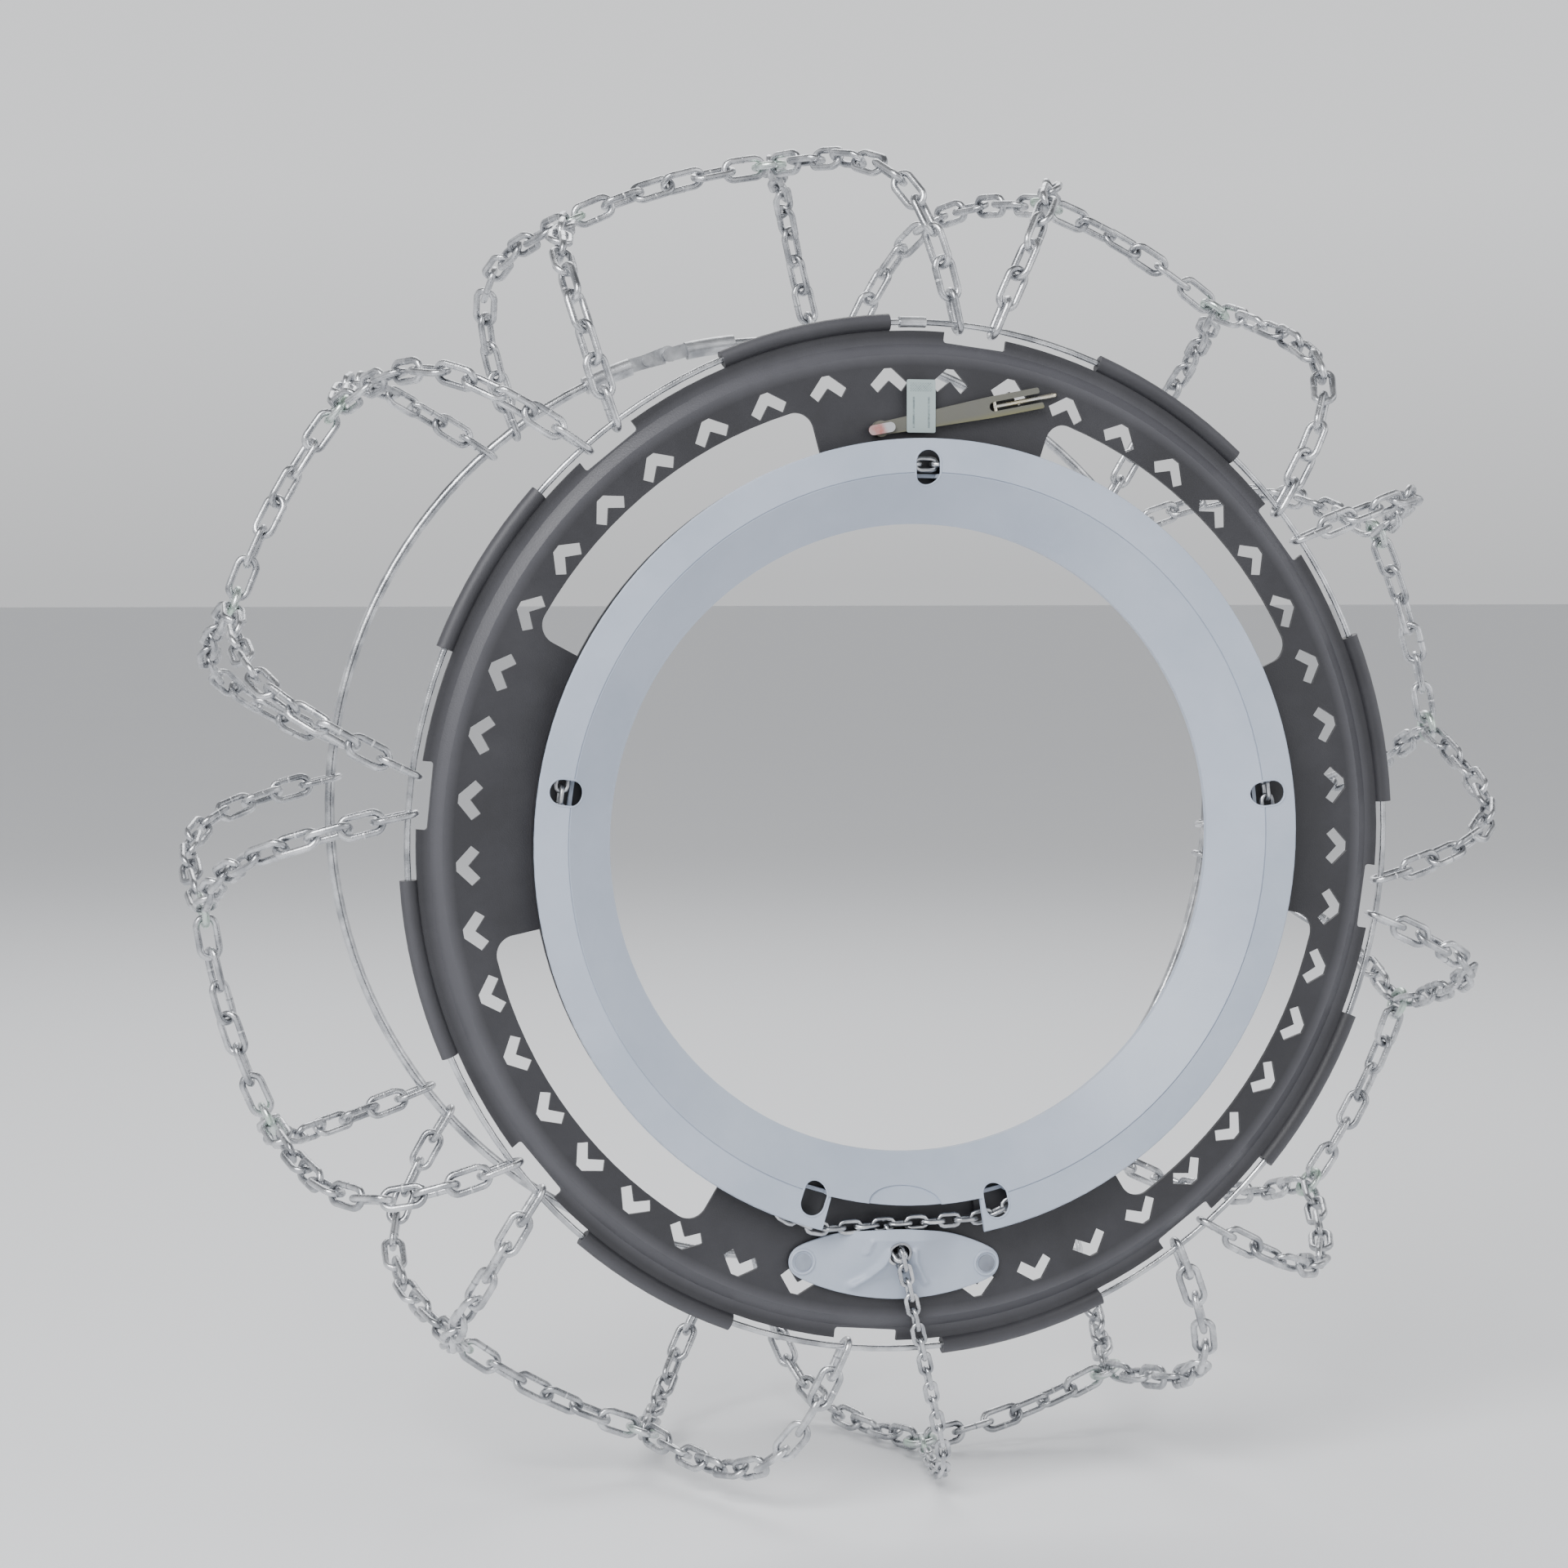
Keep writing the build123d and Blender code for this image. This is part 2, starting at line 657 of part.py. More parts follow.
loop_spots = []
for i in range(721):
    off = -180 + i / 2
    loop_spots.append(on_face(*polar(loop_reach(off), 270 + off), loop_level))
loop_length = run_length(loop_spots)
loop_count = 2 * round(loop_length / strand_step / 2)
loop_step = loop_length / loop_count
outboard = Vector(0, -1, 0)
# The links are counted from the one that the strand hooks into, which lies flat.
hooked_at = loop_length / 2 + lead_side
loop_links = []
for i in range(loop_count):
    middle = (hooked_at + i * loop_step) % loop_length
    a, b = (middle - loop_step / 2) % loop_length, (middle + loop_step / 2) % loop_length
    loop_links.append(place_link(strand_link, walk(loop_spots, a), walk(loop_spots, b), outboard,
                                 90 + 90 * (i % 2)))
save_group(loop_links, "tension_loop")


# ---- strand from the loop through the throat to the tread ----------------------------------------
def face_direction(u, v, w):
    """A unit vector given in the disc's own directions."""
    return (on_face(u, v, w) - on_face(0, 0, 0)).normalized()


def hang_link(link, bar, way, roll, reach):
    """A link that hangs from a bar, with its own centre a reach further along its way."""
    return place_link(link, bar + way * (reach - 1), bar + way * (reach + 1), outboard, roll)


hang_reach = hook_offset(strand_pitch, strand_wire, strand_play)
hooked_height = -loop_gap_height + loop_gap_slope * lead_side - (strand_width - strand_wire) / 2
lead_bars = [(lead_side, hooked_height, loop_level)]
for direction in lead_directions:
    size = hypot(*direction)
    lead_bars.append(tuple(c + d / size * strand_step for c, d in zip(lead_bars[-1], direction)))
lead_links = []
for i, bar in enumerate(lead_bars[:-1]):
    way = (on_face(*lead_bars[i + 1]) - on_face(*bar)).normalized()
    lead_links.append(hang_link(strand_link, on_face(*bar), way, 90 * i, hang_reach))
save_group(lead_links, "strand_lead")

throat_u, throat_v = (0.45 * lead_bars[1][i] + 0.55 * lead_bars[2][i] for i in (0, 1))
strand_top = on_face(*lead_bars[-1])
tail_angle = net_angle(*missing_leg)
tail_points, tail_outs = leg_run(-1, 270 + face_turn + tail_start_angle, tail_angle, face_drop)
tail_turn = min(range(len(tail_points)), key=lambda i: abs(tail_points[i].Y + strand_foot_width))
straight_length = (tail_points[tail_turn] - strand_top).length
strand_way = (tail_points[tail_turn] - strand_top).normalized()
strand_count = int((straight_length + strand_travel) / strand_step) - 1
strand_links = []
for i in range(strand_count):
    reach = hang_reach - strand_travel + strand_step * i
    strand_links.append(hang_link(strand_link, strand_top, strand_way, 90 * (i % 2), reach))
save_group(strand_links, "tension_strand")

# The tail bends over the shoulder and ends in a larger link on the tread ring.
tail_start = strand_top + strand_way * (hang_reach - strand_travel + strand_step * (strand_count - 0.5))
tail = [tail_start] + tail_points[tail_turn + 1:]
tail_outs_at = nearest_out(tail_points, tail_outs)
shackle_reach = hook_offset(shackle_pitch, ring_wire, link_play)
shackle_centre = run_length(tail) - ring_mean_radius - shackle_reach
shackle_bar = shackle_centre - (shackle_pitch + shackle_wire) / 2
last_bar = shackle_bar + (strand_wire + shackle_wire) / 2 + strand_play
tail_end = last_bar - (strand_pitch + strand_wire) / 2 + strand_step / 2
tail_count = max(2, round(tail_end / strand_step + 0.45))
tail_step = tail_end / tail_count
# With an odd number of links the tail twists a quarter turn, so that its last link stands up on the ring.
tail_twist = 90 * ((strand_count + tail_count) % 2)
tail_links = []
for i in range(tail_count):
    a, b = walk(tail, i * tail_step), walk(tail, (i + 1) * tail_step)
    roll = 90 * (strand_count + i) + tail_twist * (i + 1) / (tail_count + 1)
    tail_links.append(place_link(strand_link, a, b, tail_outs_at((a + b) * 0.5), roll))
save_group(tail_links, "strand_tail")
a, b = walk(tail, shackle_centre - 1), walk(tail, shackle_centre + 1)
save_group([place_link(shackle_link, a, b, tail_outs_at(a), 0)], "strand_shackle")

# ---- lock base -----------------------------------------------------------------------------------
u_direction = face_direction(1, 0, 0)
v_direction = face_direction(0, 1, 0)


def lock_plane(level):
    """A plane facing away from the car, with its origin at the lock's middle."""
    return Plane(origin=on_face(0, lock_middle, level), x_dir=u_direction, z_dir=outboard)


def side_section(u):
    """A plane across the lock, with X up the disc, Y away from the car and its normal to the right."""
    return Plane(origin=on_face(u, 0, 0), x_dir=v_direction, z_dir=u_direction)


def lens_outline(inset=0.0):
    """The lock's outline about its middle, smaller all round by an inset."""
    join_slope = 2 * atan2(lock_half_height - lock_tip_half_height, lock_join)
    tip = lock_join + lock_tip_half_height / cos(join_slope) * (1 - sin(join_slope)) - inset
    low, high = lock_tip_half_height - inset, lock_half_height - inset
    with BuildLine(Plane.XY) as outline:
        ThreePointArc((-lock_join, low), (0, high), (lock_join, low))
        ThreePointArc((lock_join, low), (tip, 0), (lock_join, -low))
        ThreePointArc((lock_join, -low), (0, -high), (-lock_join, -low))
        ThreePointArc((-lock_join, -low), (-tip, 0), (-lock_join, low))
    return outline.edges()


lug_outside = lug_inside + lug_thickness
pivot_v, pivot_level = pawl_pivot
with BuildPart() as lock_base:
    with BuildSketch(lock_plane(sheet_front)):
        make_face(lens_outline(base_inset))
        with Locations((-boss_at, 0), (boss_at, 0)):
            Circle(rivet_radius, mode=Mode.SUBTRACT)
    extrude(amount=base_thickness)
    for u in (-lug_outside, lug_inside):
        with BuildSketch(side_section(u)):
            with BuildLine():
                Polyline((pivot_v + lug_half_width, base_face - lug_root),
                         (pivot_v + lug_half_width, pivot_level),
                         (pivot_v + lug_half_width / 2, pivot_level + lug_crown),
                         (pivot_v - lug_half_width / 2, pivot_level + lug_crown),
                         (pivot_v - lug_half_width, pivot_level),
                         (pivot_v - lug_half_width, base_face - lug_root), close=True)
            make_face()
            with Locations((pivot_v, pivot_level)):
                Circle(pawl_pin_radius, mode=Mode.SUBTRACT)
        extrude(amount=lug_thickness)
save(lock_base.part, "lock_base")

with BuildPart() as pawl_pin:
    with BuildSketch(side_section(-lug_outside)):
        with Locations((pivot_v, pivot_level)):
            Circle(pawl_pin_radius)
    extrude(amount=2 * lug_outside)
save(pawl_pin.part, "pawl_pin")

# The pawl is a toothed finger that points up into the throat.
with BuildPart() as lock_pawl:
    with BuildSketch(side_section(pawl_side[0])):
        with Locations((pivot_v, pivot_level)):
            Circle(pawl_hub_radius)
        rest = radians(pawl_rest_angle)
        hub = Vector(pivot_v, pivot_level)
        tip = hub + Vector(cos(rest), sin(rest)) * pawl_reach
        side = Vector(-sin(rest), cos(rest))
        with BuildLine():
            Polyline(hub - side * pawl_root_half_width, tip - side * pawl_tip_half_width,
                     tip + side * pawl_tooth_height,
                     tip + side * pawl_tooth_height - Vector(*pawl_tooth_slope),
                     hub + side * pawl_root_half_width, close=True)
        make_face()
        with Locations((pivot_v, pivot_level)):
            Circle(pawl_pin_radius + pawl_pin_play, mode=Mode.SUBTRACT)
    extrude(amount=pawl_side[1] - pawl_side[0])
save(lock_pawl.part, "lock_pawl")

# A torsion spring round the pin holds the pawl up.
spring_start = pawl_side[1] + 0.35
spring_pitch = spring_wire * 1.25
coil_plane = Plane(origin=on_face(spring_start + spring_wire / 2, pivot_v, pivot_level), x_dir=v_direction,
                   z_dir=u_direction)
with BuildPart() as pawl_spring:
    with BuildLine() as coil:
        Helix(pitch=spring_pitch, height=spring_pitch * spring_turns, radius=spring_radius)
    with BuildSketch(Plane(origin=coil.line @ 0, z_dir=coil.line % 0)):
        Circle(spring_wire / 2)
    sweep()
save(pawl_spring.part.moved(coil_plane.location), "pawl_spring")

# ---- lock plate ----------------------------------------------------------------------------------
throat_level = lead_bars[-1][2]
hood_top = hooked_height - strand_wire / 2 - 2.7
strand_lean = strand_way.dot(u_direction) / -strand_way.dot(v_direction)
lip_v = lead_bars[-1][1] - 2.0
hood_profile = [(hood_top, hood_crest), (lip_v, throat_level - lip_drop), (lip_v - 8.0, throat_level - 7.5),
                (lock_middle - lock_half_height + 0.5, plate_face)]


def hood_level(v):
    """Level of the hood's outside at a height on the disc."""
    for (high, high_level), (low, low_level) in zip(hood_profile, hood_profile[1:]):
        if v >= low:
            return low_level + (high_level - low_level) * (v - low) / (high - low)
    return plate_face


with BuildPart() as hood:
    with BuildSketch(side_section(-hood_half_width)):
        with BuildLine():
            Polyline(*hood_profile, (hood_profile[-1][0], base_face), (hood_top, base_face), close=True)
        make_face()
    extrude(amount=2 * hood_half_width)
    # its sides fall away to the plate
    with BuildSketch(Plane(origin=on_face(0, hood_top, 0), x_dir=u_direction, z_dir=v_direction * -1)):
        with BuildLine():
            Polyline((-hood_half_width, base_face), (-hood_half_width, plate_face),
                     (-hood_crest_half_width, hood_crest + 0.5), (hood_crest_half_width, hood_crest + 0.5),
                     (hood_half_width, plate_face), (hood_half_width, base_face), close=True)
        make_face()
    extrude(amount=2 * lock_half_height, mode=Mode.INTERSECT)

# Curved ribs either side of the strand, and a short one at the left: places across the hood, and size.
rib_routes = [[(-5.6, -193.0), (-8.5, -200.0), (-14.0, -206.0), (-21.0, -210.5)],
              [(6.4, -193.0), (8.0, -198.5), (11.5, -203.5), (15.0, -208.5)],
              [(-15.0, -187.6), (-15.6, -190.0), (-16.2, -192.6)]]
rib_radii = [2.0, 1.7, 1.2]
hollow_left = lead_side - strand_width / 2 - 1.2
hollow_foot = pivot_v - 3.2
with BuildPart() as lock_plate:
    with BuildSketch(lock_plane(base_face)):
        make_face(lens_outline())
    extrude(amount=plate_thickness)
    add(hood.part)
    for route, rib_radius in zip(rib_routes, rib_radii):
        with BuildLine() as rib:
            Spline(*[on_face(u, v, hood_level(v) - rib_radius * 0.35) for u, v in route])
        with BuildSketch(Plane(origin=rib.line @ 0, z_dir=rib.line % 0)):
            Circle(rib_radius)
        sweep()
        for end in (0, 1):
            with Locations(rib.line @ end):
                Sphere(rib_radius)
    # hollow for the strand and the pawl
    with BuildSketch(side_section(hollow_left)):
        with BuildLine():
            Polyline((hood_top + 3, base_face - 1), (hood_top + 3, hood_crest - hood_wall + 1.1),
                     (lip_v, throat_level - lip_drop - hood_wall),
                     (hollow_foot, hood_level(hollow_foot) - plate_wall_least),
                     (hollow_foot, base_face - 1), close=True)
        make_face()
    extrude(amount=lug_outside + 0.3 - hollow_left, mode=Mode.SUBTRACT)
    # throat, with a slot below it for the links that stand on edge
    with BuildSketch(lock_plane(base_face)):
        throat_at = (throat_u, throat_v - lock_middle)
        with Locations(Location((*throat_at, 0), (0, 0, 90))):
            SlotOverall(throat_height + 2 * eyelet_wall, throat_width + 2 * eyelet_wall)
    extrude(amount=20, mode=Mode.SUBTRACT)
    with BuildSketch(lock_plane(base_face)):
        slot_drop = lead_bars[-1][1] - throat_v + throat_height / 2 + throat_slot_length
        for drop in (0, slot_drop):
            with Locations((lead_bars[-1][0] + strand_lean * drop, lead_bars[-1][1] - lock_middle - drop)):
                Circle(throat_slot_width / 2)
        make_hull()
    extrude(amount=20, mode=Mode.SUBTRACT)
    # recessed boss at each end
    with BuildSketch(lock_plane(plate_face)):
        with Locations((-boss_at, 0), (boss_at, 0)):
            Circle(boss_radius + boss_rim)
            Circle(boss_radius, mode=Mode.SUBTRACT)
    extrude(amount=boss_height)
    with BuildSketch(lock_plane(base_face)):
        with Locations((-boss_at, 0), (boss_at, 0)):
            Circle(rivet_radius)
    extrude(amount=plate_thickness + 1, mode=Mode.SUBTRACT)
save(lock_plate.part, "lock_plate")

# Steel eyelet that lines the throat, open below for the slot.
with BuildPart() as throat_eyelet:
    with BuildSketch(side_section(throat_u - throat_width)):
        half = throat_height / 2 + eyelet_wall
        with BuildLine():
            Polyline((throat_v + half, hood_level(throat_v + half) - hood_wall),
                     (throat_v + half, hood_level(throat_v + half) + eyelet_rise),
                     (throat_v - half, hood_level(throat_v - half) + eyelet_rise),
                     (throat_v - half, hood_level(throat_v - half) - hood_wall), close=True)
        make_face()
    extrude(amount=2 * throat_width)
    with BuildSketch(lock_plane(base_face)):
        with Locations(Location((*throat_at, 0), (0, 0, 90))):
            SlotOverall(throat_height + 2 * eyelet_wall, throat_width + 2 * eyelet_wall)
            SlotOverall(throat_height, throat_width, mode=Mode.SUBTRACT)
        with Locations((lead_bars[-1][0] + strand_lean * 3, throat_at[1] - throat_height / 2)):
            Rectangle(throat_slot_width + 0.6, 4 * eyelet_wall, mode=Mode.SUBTRACT)
    extrude(amount=20, mode=Mode.INTERSECT)
save(throat_eyelet.part, "throat_eyelet")


def disc_rivet(plane, spots, head_radius, head_height, shank_top, name):
    """Round rivets through the disc, with a head in front and a flat one behind."""
    rivets = []
    for spot in spots:
        with BuildPart() as rivet:
            with BuildSketch(plane(sheet_back - rivet_foot)):
                with Locations(spot):
                    Circle(rivet_foot_radius)
            extrude(amount=rivet_foot)
            with BuildSketch(plane(sheet_back)):
                with Locations(spot):
                    Circle(rivet_radius)
            extrude(amount=shank_top - sheet_back)
            with BuildSketch(plane(shank_top)):
                with Locations(spot):
                    Circle(head_radius)
            extrude(amount=head_height)
        rivets.append(rivet.part.solid())
    save_group(rivets, name)


disc_rivet(lock_plane, [(-boss_at, 0), (boss_at, 0)], rivet_head_radius, rivet_head_height, plate_face,
           "lock_rivets")

# ---- closure strap and hook ----------------------------------------------------------------------
strap_way = Vector(cos(radians(strap_angle)), 0, sin(radians(strap_angle)))


def strap_plane(level):
    """A plane facing away from the car, with its origin at the strap's rivet and X along the strap."""
    return Plane(origin=on_face(*strap_rivet_at, level, 0), x_dir=strap_way, z_dir=outboard)


def strap_section(along):
    """A plane across the strap, with X away from the car and its normal along the strap's width."""
    width_way = outboard.cross(strap_way)
    origin = strap_plane(strap_back + strap_thickness / 2).from_local_coords(Vector(along, 0, 0))
    return Plane(origin=origin, x_dir=outboard, z_dir=width_way)


with BuildPart() as closure_strap:
    with BuildSketch(strap_plane(strap_back)) as strap_outline:
        with BuildLine():
            Polyline((0, strap_root_half_width), (strap_slot_start, strap_tip_half_width),
                     (strap_length, strap_tip_half_width), (strap_length + 1.5, -strap_tip_half_width),
                     (strap_slot_start, -strap_tip_half_width), (0, -strap_root_half_width), close=True)
        make_face()
        Circle(strap_boss_radius)
        with Locations((strap_slot_start + 25, 0)):
            SlotOverall(50 + strap_slot_width / 2, strap_slot_width, mode=Mode.SUBTRACT)
        Circle(rivet_radius + hook_pin_play, mode=Mode.SUBTRACT)
        corners = strap_outline.vertices()
        fillet([p for p in corners if strap_plane(0).to_local_coords(p).X > strap_length - 1], strap_corner)
    extrude(amount=strap_thickness)
    with BuildSketch(strap_section(hook_pin_at)):
        Circle(hook_pin_radius + hook_pin_play)
    extrude(amount=hook_pin_half_length + 0.1, both=True, mode=Mode.SUBTRACT)
save(closure_strap.part, "closure_strap")

# Hook with a cross pin that turns in the strap's two prongs.
hook_pivot = strap_section(hook_pin_at).origin
shank = hook_length - hook_pin_at
arc_share = 1 - cos(radians(45))
with BuildPart() as closure_hook:
    with BuildSketch(strap_section(hook_pin_at)):
        Circle(hook_pin_radius)
    extrude(amount=hook_pin_half_length, both=True)
    with BuildLine(Plane(origin=hook_pivot, x_dir=strap_way, z_dir=outboard.cross(strap_way) * -1)):
        Line((0, 0), (shank - hook_bend, 0))
        ThreePointArc((shank - hook_bend, 0),
                      (shank - hook_bend * arc_share, -hook_bend * arc_share), (shank, -hook_bend))
    with BuildSketch(Plane(origin=hook_pivot, z_dir=strap_way)):
        Circle(hook_wire / 2)
    sweep()
save(closure_hook.part, "closure_hook")

# The strap's rivet has a long flat head.
with BuildPart() as strap_rivet:
    with BuildSketch(strap_plane(sheet_back - rivet_foot)):
        Circle(rivet_foot_radius)
    extrude(amount=rivet_foot)
    with BuildSketch(strap_plane(sheet_back)):
        Circle(rivet_radius)
    extrude(amount=strap_face + strap_play - sheet_back)
    with BuildSketch(strap_plane(strap_face + strap_play)):
        SlotOverall(*strap_rivet_head)
    extrude(amount=strap_rivet_head_height)
save(strap_rivet.part, "strap_rivet")

with BuildPart() as size_tag:
    with BuildSketch(face_plane(strap_face, 0)):
        with Locations(tag_middle):
            RectangleRounded(*tag_size, 0.8)
    extrude(amount=tag_thickness)
save(size_tag.part, "size_tag")

# ---- inner hoop and its coupling -----------------------------------------------------------------
axle = Axis((0, 0, 0), (0, -1, 0))
hoop_end = ferrule_face + ferrule_cap
with BuildPart() as inner_hoop:
    with BuildSketch(radial_section(coupling_angle + hoop_end, 1, 0)):
        with Locations((hoop_radius, 0)):
            Circle(inner_hoop_wire / 2)
    revolve(axis=axle, revolution_arc=360 - 2 * hoop_end)
save(inner_hoop.part, "inner_hoop")


def coupling_plane(level):
    """A plane at the coupling's middle: X towards larger angles, Y outwards, and level along the axle."""
    a = radians(coupling_angle)
    return Plane(origin=(hoop_radius * cos(a), side_half_width + level, hoop_radius * sin(a)),
                 x_dir=(-sin(a), 0, cos(a)), z_dir=(0, 1, 0))


ferrule_x = hoop_radius * radians(ferrule_face)
for hand, name in ((1, "coupling_eye"), (-1, "coupling_post")):
    start = coupling_angle + ferrule_face if hand > 0 else coupling_angle - ferrule_face - ferrule_angle
    bore_start = start + ferrule_cap if hand > 0 else start
    with BuildPart() as coupling_end:
        with BuildSketch(radial_section(start, 1, 0)):
            with Locations((hoop_radius, 0)):
                Circle(ferrule_radius)
        revolve(axis=axle, revolution_arc=ferrule_angle)
        with BuildSketch(radial_section(bore_start, 1, 0)):
            with Locations((hoop_radius, 0)):
                Circle(inner_hoop_wire / 2)
        revolve(axis=axle, revolution_arc=ferrule_angle - ferrule_cap, mode=Mode.SUBTRACT)
        with BuildSketch(coupling_plane(-lug_half_thickness)):
            with Locations((hand * coupling_reach, 0)):
                Circle(lug_end_radius)
            with Locations((hand * (coupling_reach + ferrule_x + 0.8) / 2, 0)):
                Rectangle(ferrule_x + 0.8 - coupling_reach, 2 * lug_end_radius)
        extrude(amount=2 * lug_half_thickness)
        with BuildSketch(coupling_plane(-lug_half_thickness)):
            with Locations((hand * coupling_reach, 0)):
                Circle(latch_pin_radius)
        if hand > 0:
            extrude(amount=2 * lug_half_thickness, mode=Mode.SUBTRACT)
        else:
            extrude(amount=2 * lug_half_thickness)
            with BuildSketch(coupling_plane(lug_half_thickness)):
                with Locations((hand * coupling_reach, 0)):
                    Circle(post_radius)
            extrude(amount=latch_thickness + 3 * latch_gap)
            with BuildSketch(coupling_plane(lug_half_thickness + latch_thickness + 3 * latch_gap)):
                with Locations((hand * coupling_reach, 0)):
                    Circle(post_radius + 1.0)
            extrude(amount=1.0)
    save(coupling_end.part, name)

with BuildPart() as coupling_pin:
    with BuildSketch(coupling_plane(-lug_half_thickness - 0.8)):
        with Locations((coupling_reach, 0)):
            Circle(latch_pin_radius + 1.0)
    extrude(amount=0.8)
    with BuildSketch(coupling_plane(-lug_half_thickness)):
        with Locations((coupling_reach, 0)):
            Circle(latch_pin_radius)
    extrude(amount=2 * lug_half_thickness + latch_thickness + 2 * latch_gap)
    with BuildSketch(coupling_plane(lug_half_thickness + latch_thickness + 2 * latch_gap)):
        with Locations((coupling_reach, 0)):
            Circle(latch_pin_radius + 1.0)
    extrude(amount=0.8)
save(coupling_pin.part, "coupling_pin")

# The latch swings outwards off the post. Its slot follows the arc that the post makes round the pin.
latch_reach = 2 * coupling_reach
with BuildPart() as coupling_latch:
    with BuildSketch(coupling_plane(lug_half_thickness + latch_gap)):
        with Locations((coupling_reach, 0)):
            Circle(lug_end_radius)
        with Locations((-coupling_reach, 0.4)):
            Circle(lug_end_radius + 0.9)
        make_hull()
        with Locations((coupling_reach, 0)):
            Circle(latch_pin_radius + latch_pin_play, mode=Mode.SUBTRACT)
        half = post_radius + post_play
        inside, outside = latch_reach - half, latch_reach + half
        with BuildLine():
            CenterArc((coupling_reach, 0), outside, 180, 30)
            CenterArc((coupling_reach, 0), inside, 180, 30)
            ThreePointArc((coupling_reach - outside, 0), (-coupling_reach, half),
                          (coupling_reach - inside, 0))
            Line((coupling_reach + outside * cos(radians(210)), outside * sin(radians(210))),
                 (coupling_reach + inside * cos(radians(210)), inside * sin(radians(210))))
        make_face(mode=Mode.SUBTRACT)
    extrude(amount=latch_thickness)
save(coupling_latch.part, "coupling_latch")
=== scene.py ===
"""Finishes and fine pieces for a self-tensioning snow chain, laid out as an add-on.

Each operator dresses or models one group of pieces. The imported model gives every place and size.
"""
import math

import bmesh
import bpy
import numpy as np
from bpy.props import FloatProperty, FloatVectorProperty, IntProperty, PointerProperty
from mathutils import Matrix, Vector


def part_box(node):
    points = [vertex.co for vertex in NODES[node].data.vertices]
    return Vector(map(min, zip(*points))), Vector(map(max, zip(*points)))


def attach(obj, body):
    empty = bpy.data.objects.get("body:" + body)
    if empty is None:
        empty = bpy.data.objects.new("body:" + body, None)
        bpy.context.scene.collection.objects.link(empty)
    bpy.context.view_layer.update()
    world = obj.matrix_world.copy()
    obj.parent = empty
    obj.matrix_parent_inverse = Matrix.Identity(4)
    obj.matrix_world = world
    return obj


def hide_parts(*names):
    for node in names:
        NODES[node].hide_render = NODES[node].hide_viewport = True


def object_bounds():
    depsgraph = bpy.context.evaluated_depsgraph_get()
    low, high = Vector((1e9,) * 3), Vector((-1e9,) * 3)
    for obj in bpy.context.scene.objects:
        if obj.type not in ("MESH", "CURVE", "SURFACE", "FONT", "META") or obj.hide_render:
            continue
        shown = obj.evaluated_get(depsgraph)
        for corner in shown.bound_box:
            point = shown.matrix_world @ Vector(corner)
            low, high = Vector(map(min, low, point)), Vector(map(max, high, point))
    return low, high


bl_info = {
    "name": "Snow Chain Studio",
    "version": (1, 0, 0),
    "blender": (4, 5, 0),
    "location": "View3D > Sidebar > Snow Chain",
    "description": "Finishes and fine pieces for a fitted snow chain",
    "category": "Object",
}

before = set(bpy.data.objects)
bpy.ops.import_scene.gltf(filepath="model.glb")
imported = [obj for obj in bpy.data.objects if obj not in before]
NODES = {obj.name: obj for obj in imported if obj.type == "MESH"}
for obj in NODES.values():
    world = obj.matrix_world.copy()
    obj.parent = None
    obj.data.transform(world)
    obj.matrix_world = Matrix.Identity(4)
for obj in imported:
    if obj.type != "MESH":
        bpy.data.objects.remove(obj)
cad_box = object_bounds()
MM = 0.001

# The disc hangs a little low and is turned a few degrees, so its own directions differ from the tyre's.
FACE_DROP = 5.0
FACE_TURN = math.radians(-3.5)
HOOP_PLANE = -108.0


def on_face(u, v, w):
    """A point given in the disc's own directions, in millimetres: right, up and outboard."""
    side = Vector((math.cos(FACE_TURN), 0, math.sin(FACE_TURN)))
    up = Vector((-math.sin(FACE_TURN), 0, math.cos(FACE_TURN)))
    return (side * u + up * v + Vector((0, HOOP_PLANE - w, -FACE_DROP))) * MM


# ---- sizes and colours that a user may change --------------------------------------------------------


def colour(name, description, value):
    """A colour setting."""
    return FloatVectorProperty(name=name, description=description, subtype="COLOR", size=3, min=0, max=1,
                               default=value)


def length(name, description, value):
    """A length setting, given in metres."""
    return FloatProperty(name=name, description=description, unit="LENGTH", default=value)


class ChainFinishes(bpy.types.PropertyGroup):
    """Colours of the plated steel pieces."""

    zinc: colour("Zinc", "Bright zinc plate on the links and hoops", (0.70, 0.71, 0.73))
    zinc_shade: colour("Zinc shade", "Zinc plate in its duller patches", (0.34, 0.35, 0.37))
    tint: colour("Tint", "Green passivation on the tread rings", (0.48, 0.62, 0.52))
    brass: colour("Hook", "Yellow passivation on the strap's hook", (0.86, 0.76, 0.52))
    red: colour("Strap rivet", "Lacquer on the strap's rivet", (0.62, 0.20, 0.17))
    dark_steel: colour("Lock steel", "Oiled steel inside the lock", (0.30, 0.30, 0.31))
    bead_length: length("Weld length", "Length of the weld bead on each link", 0.0036)
    bead_swell: FloatProperty(name="Weld swell", description="Bead radius over the wire's", default=1.09)


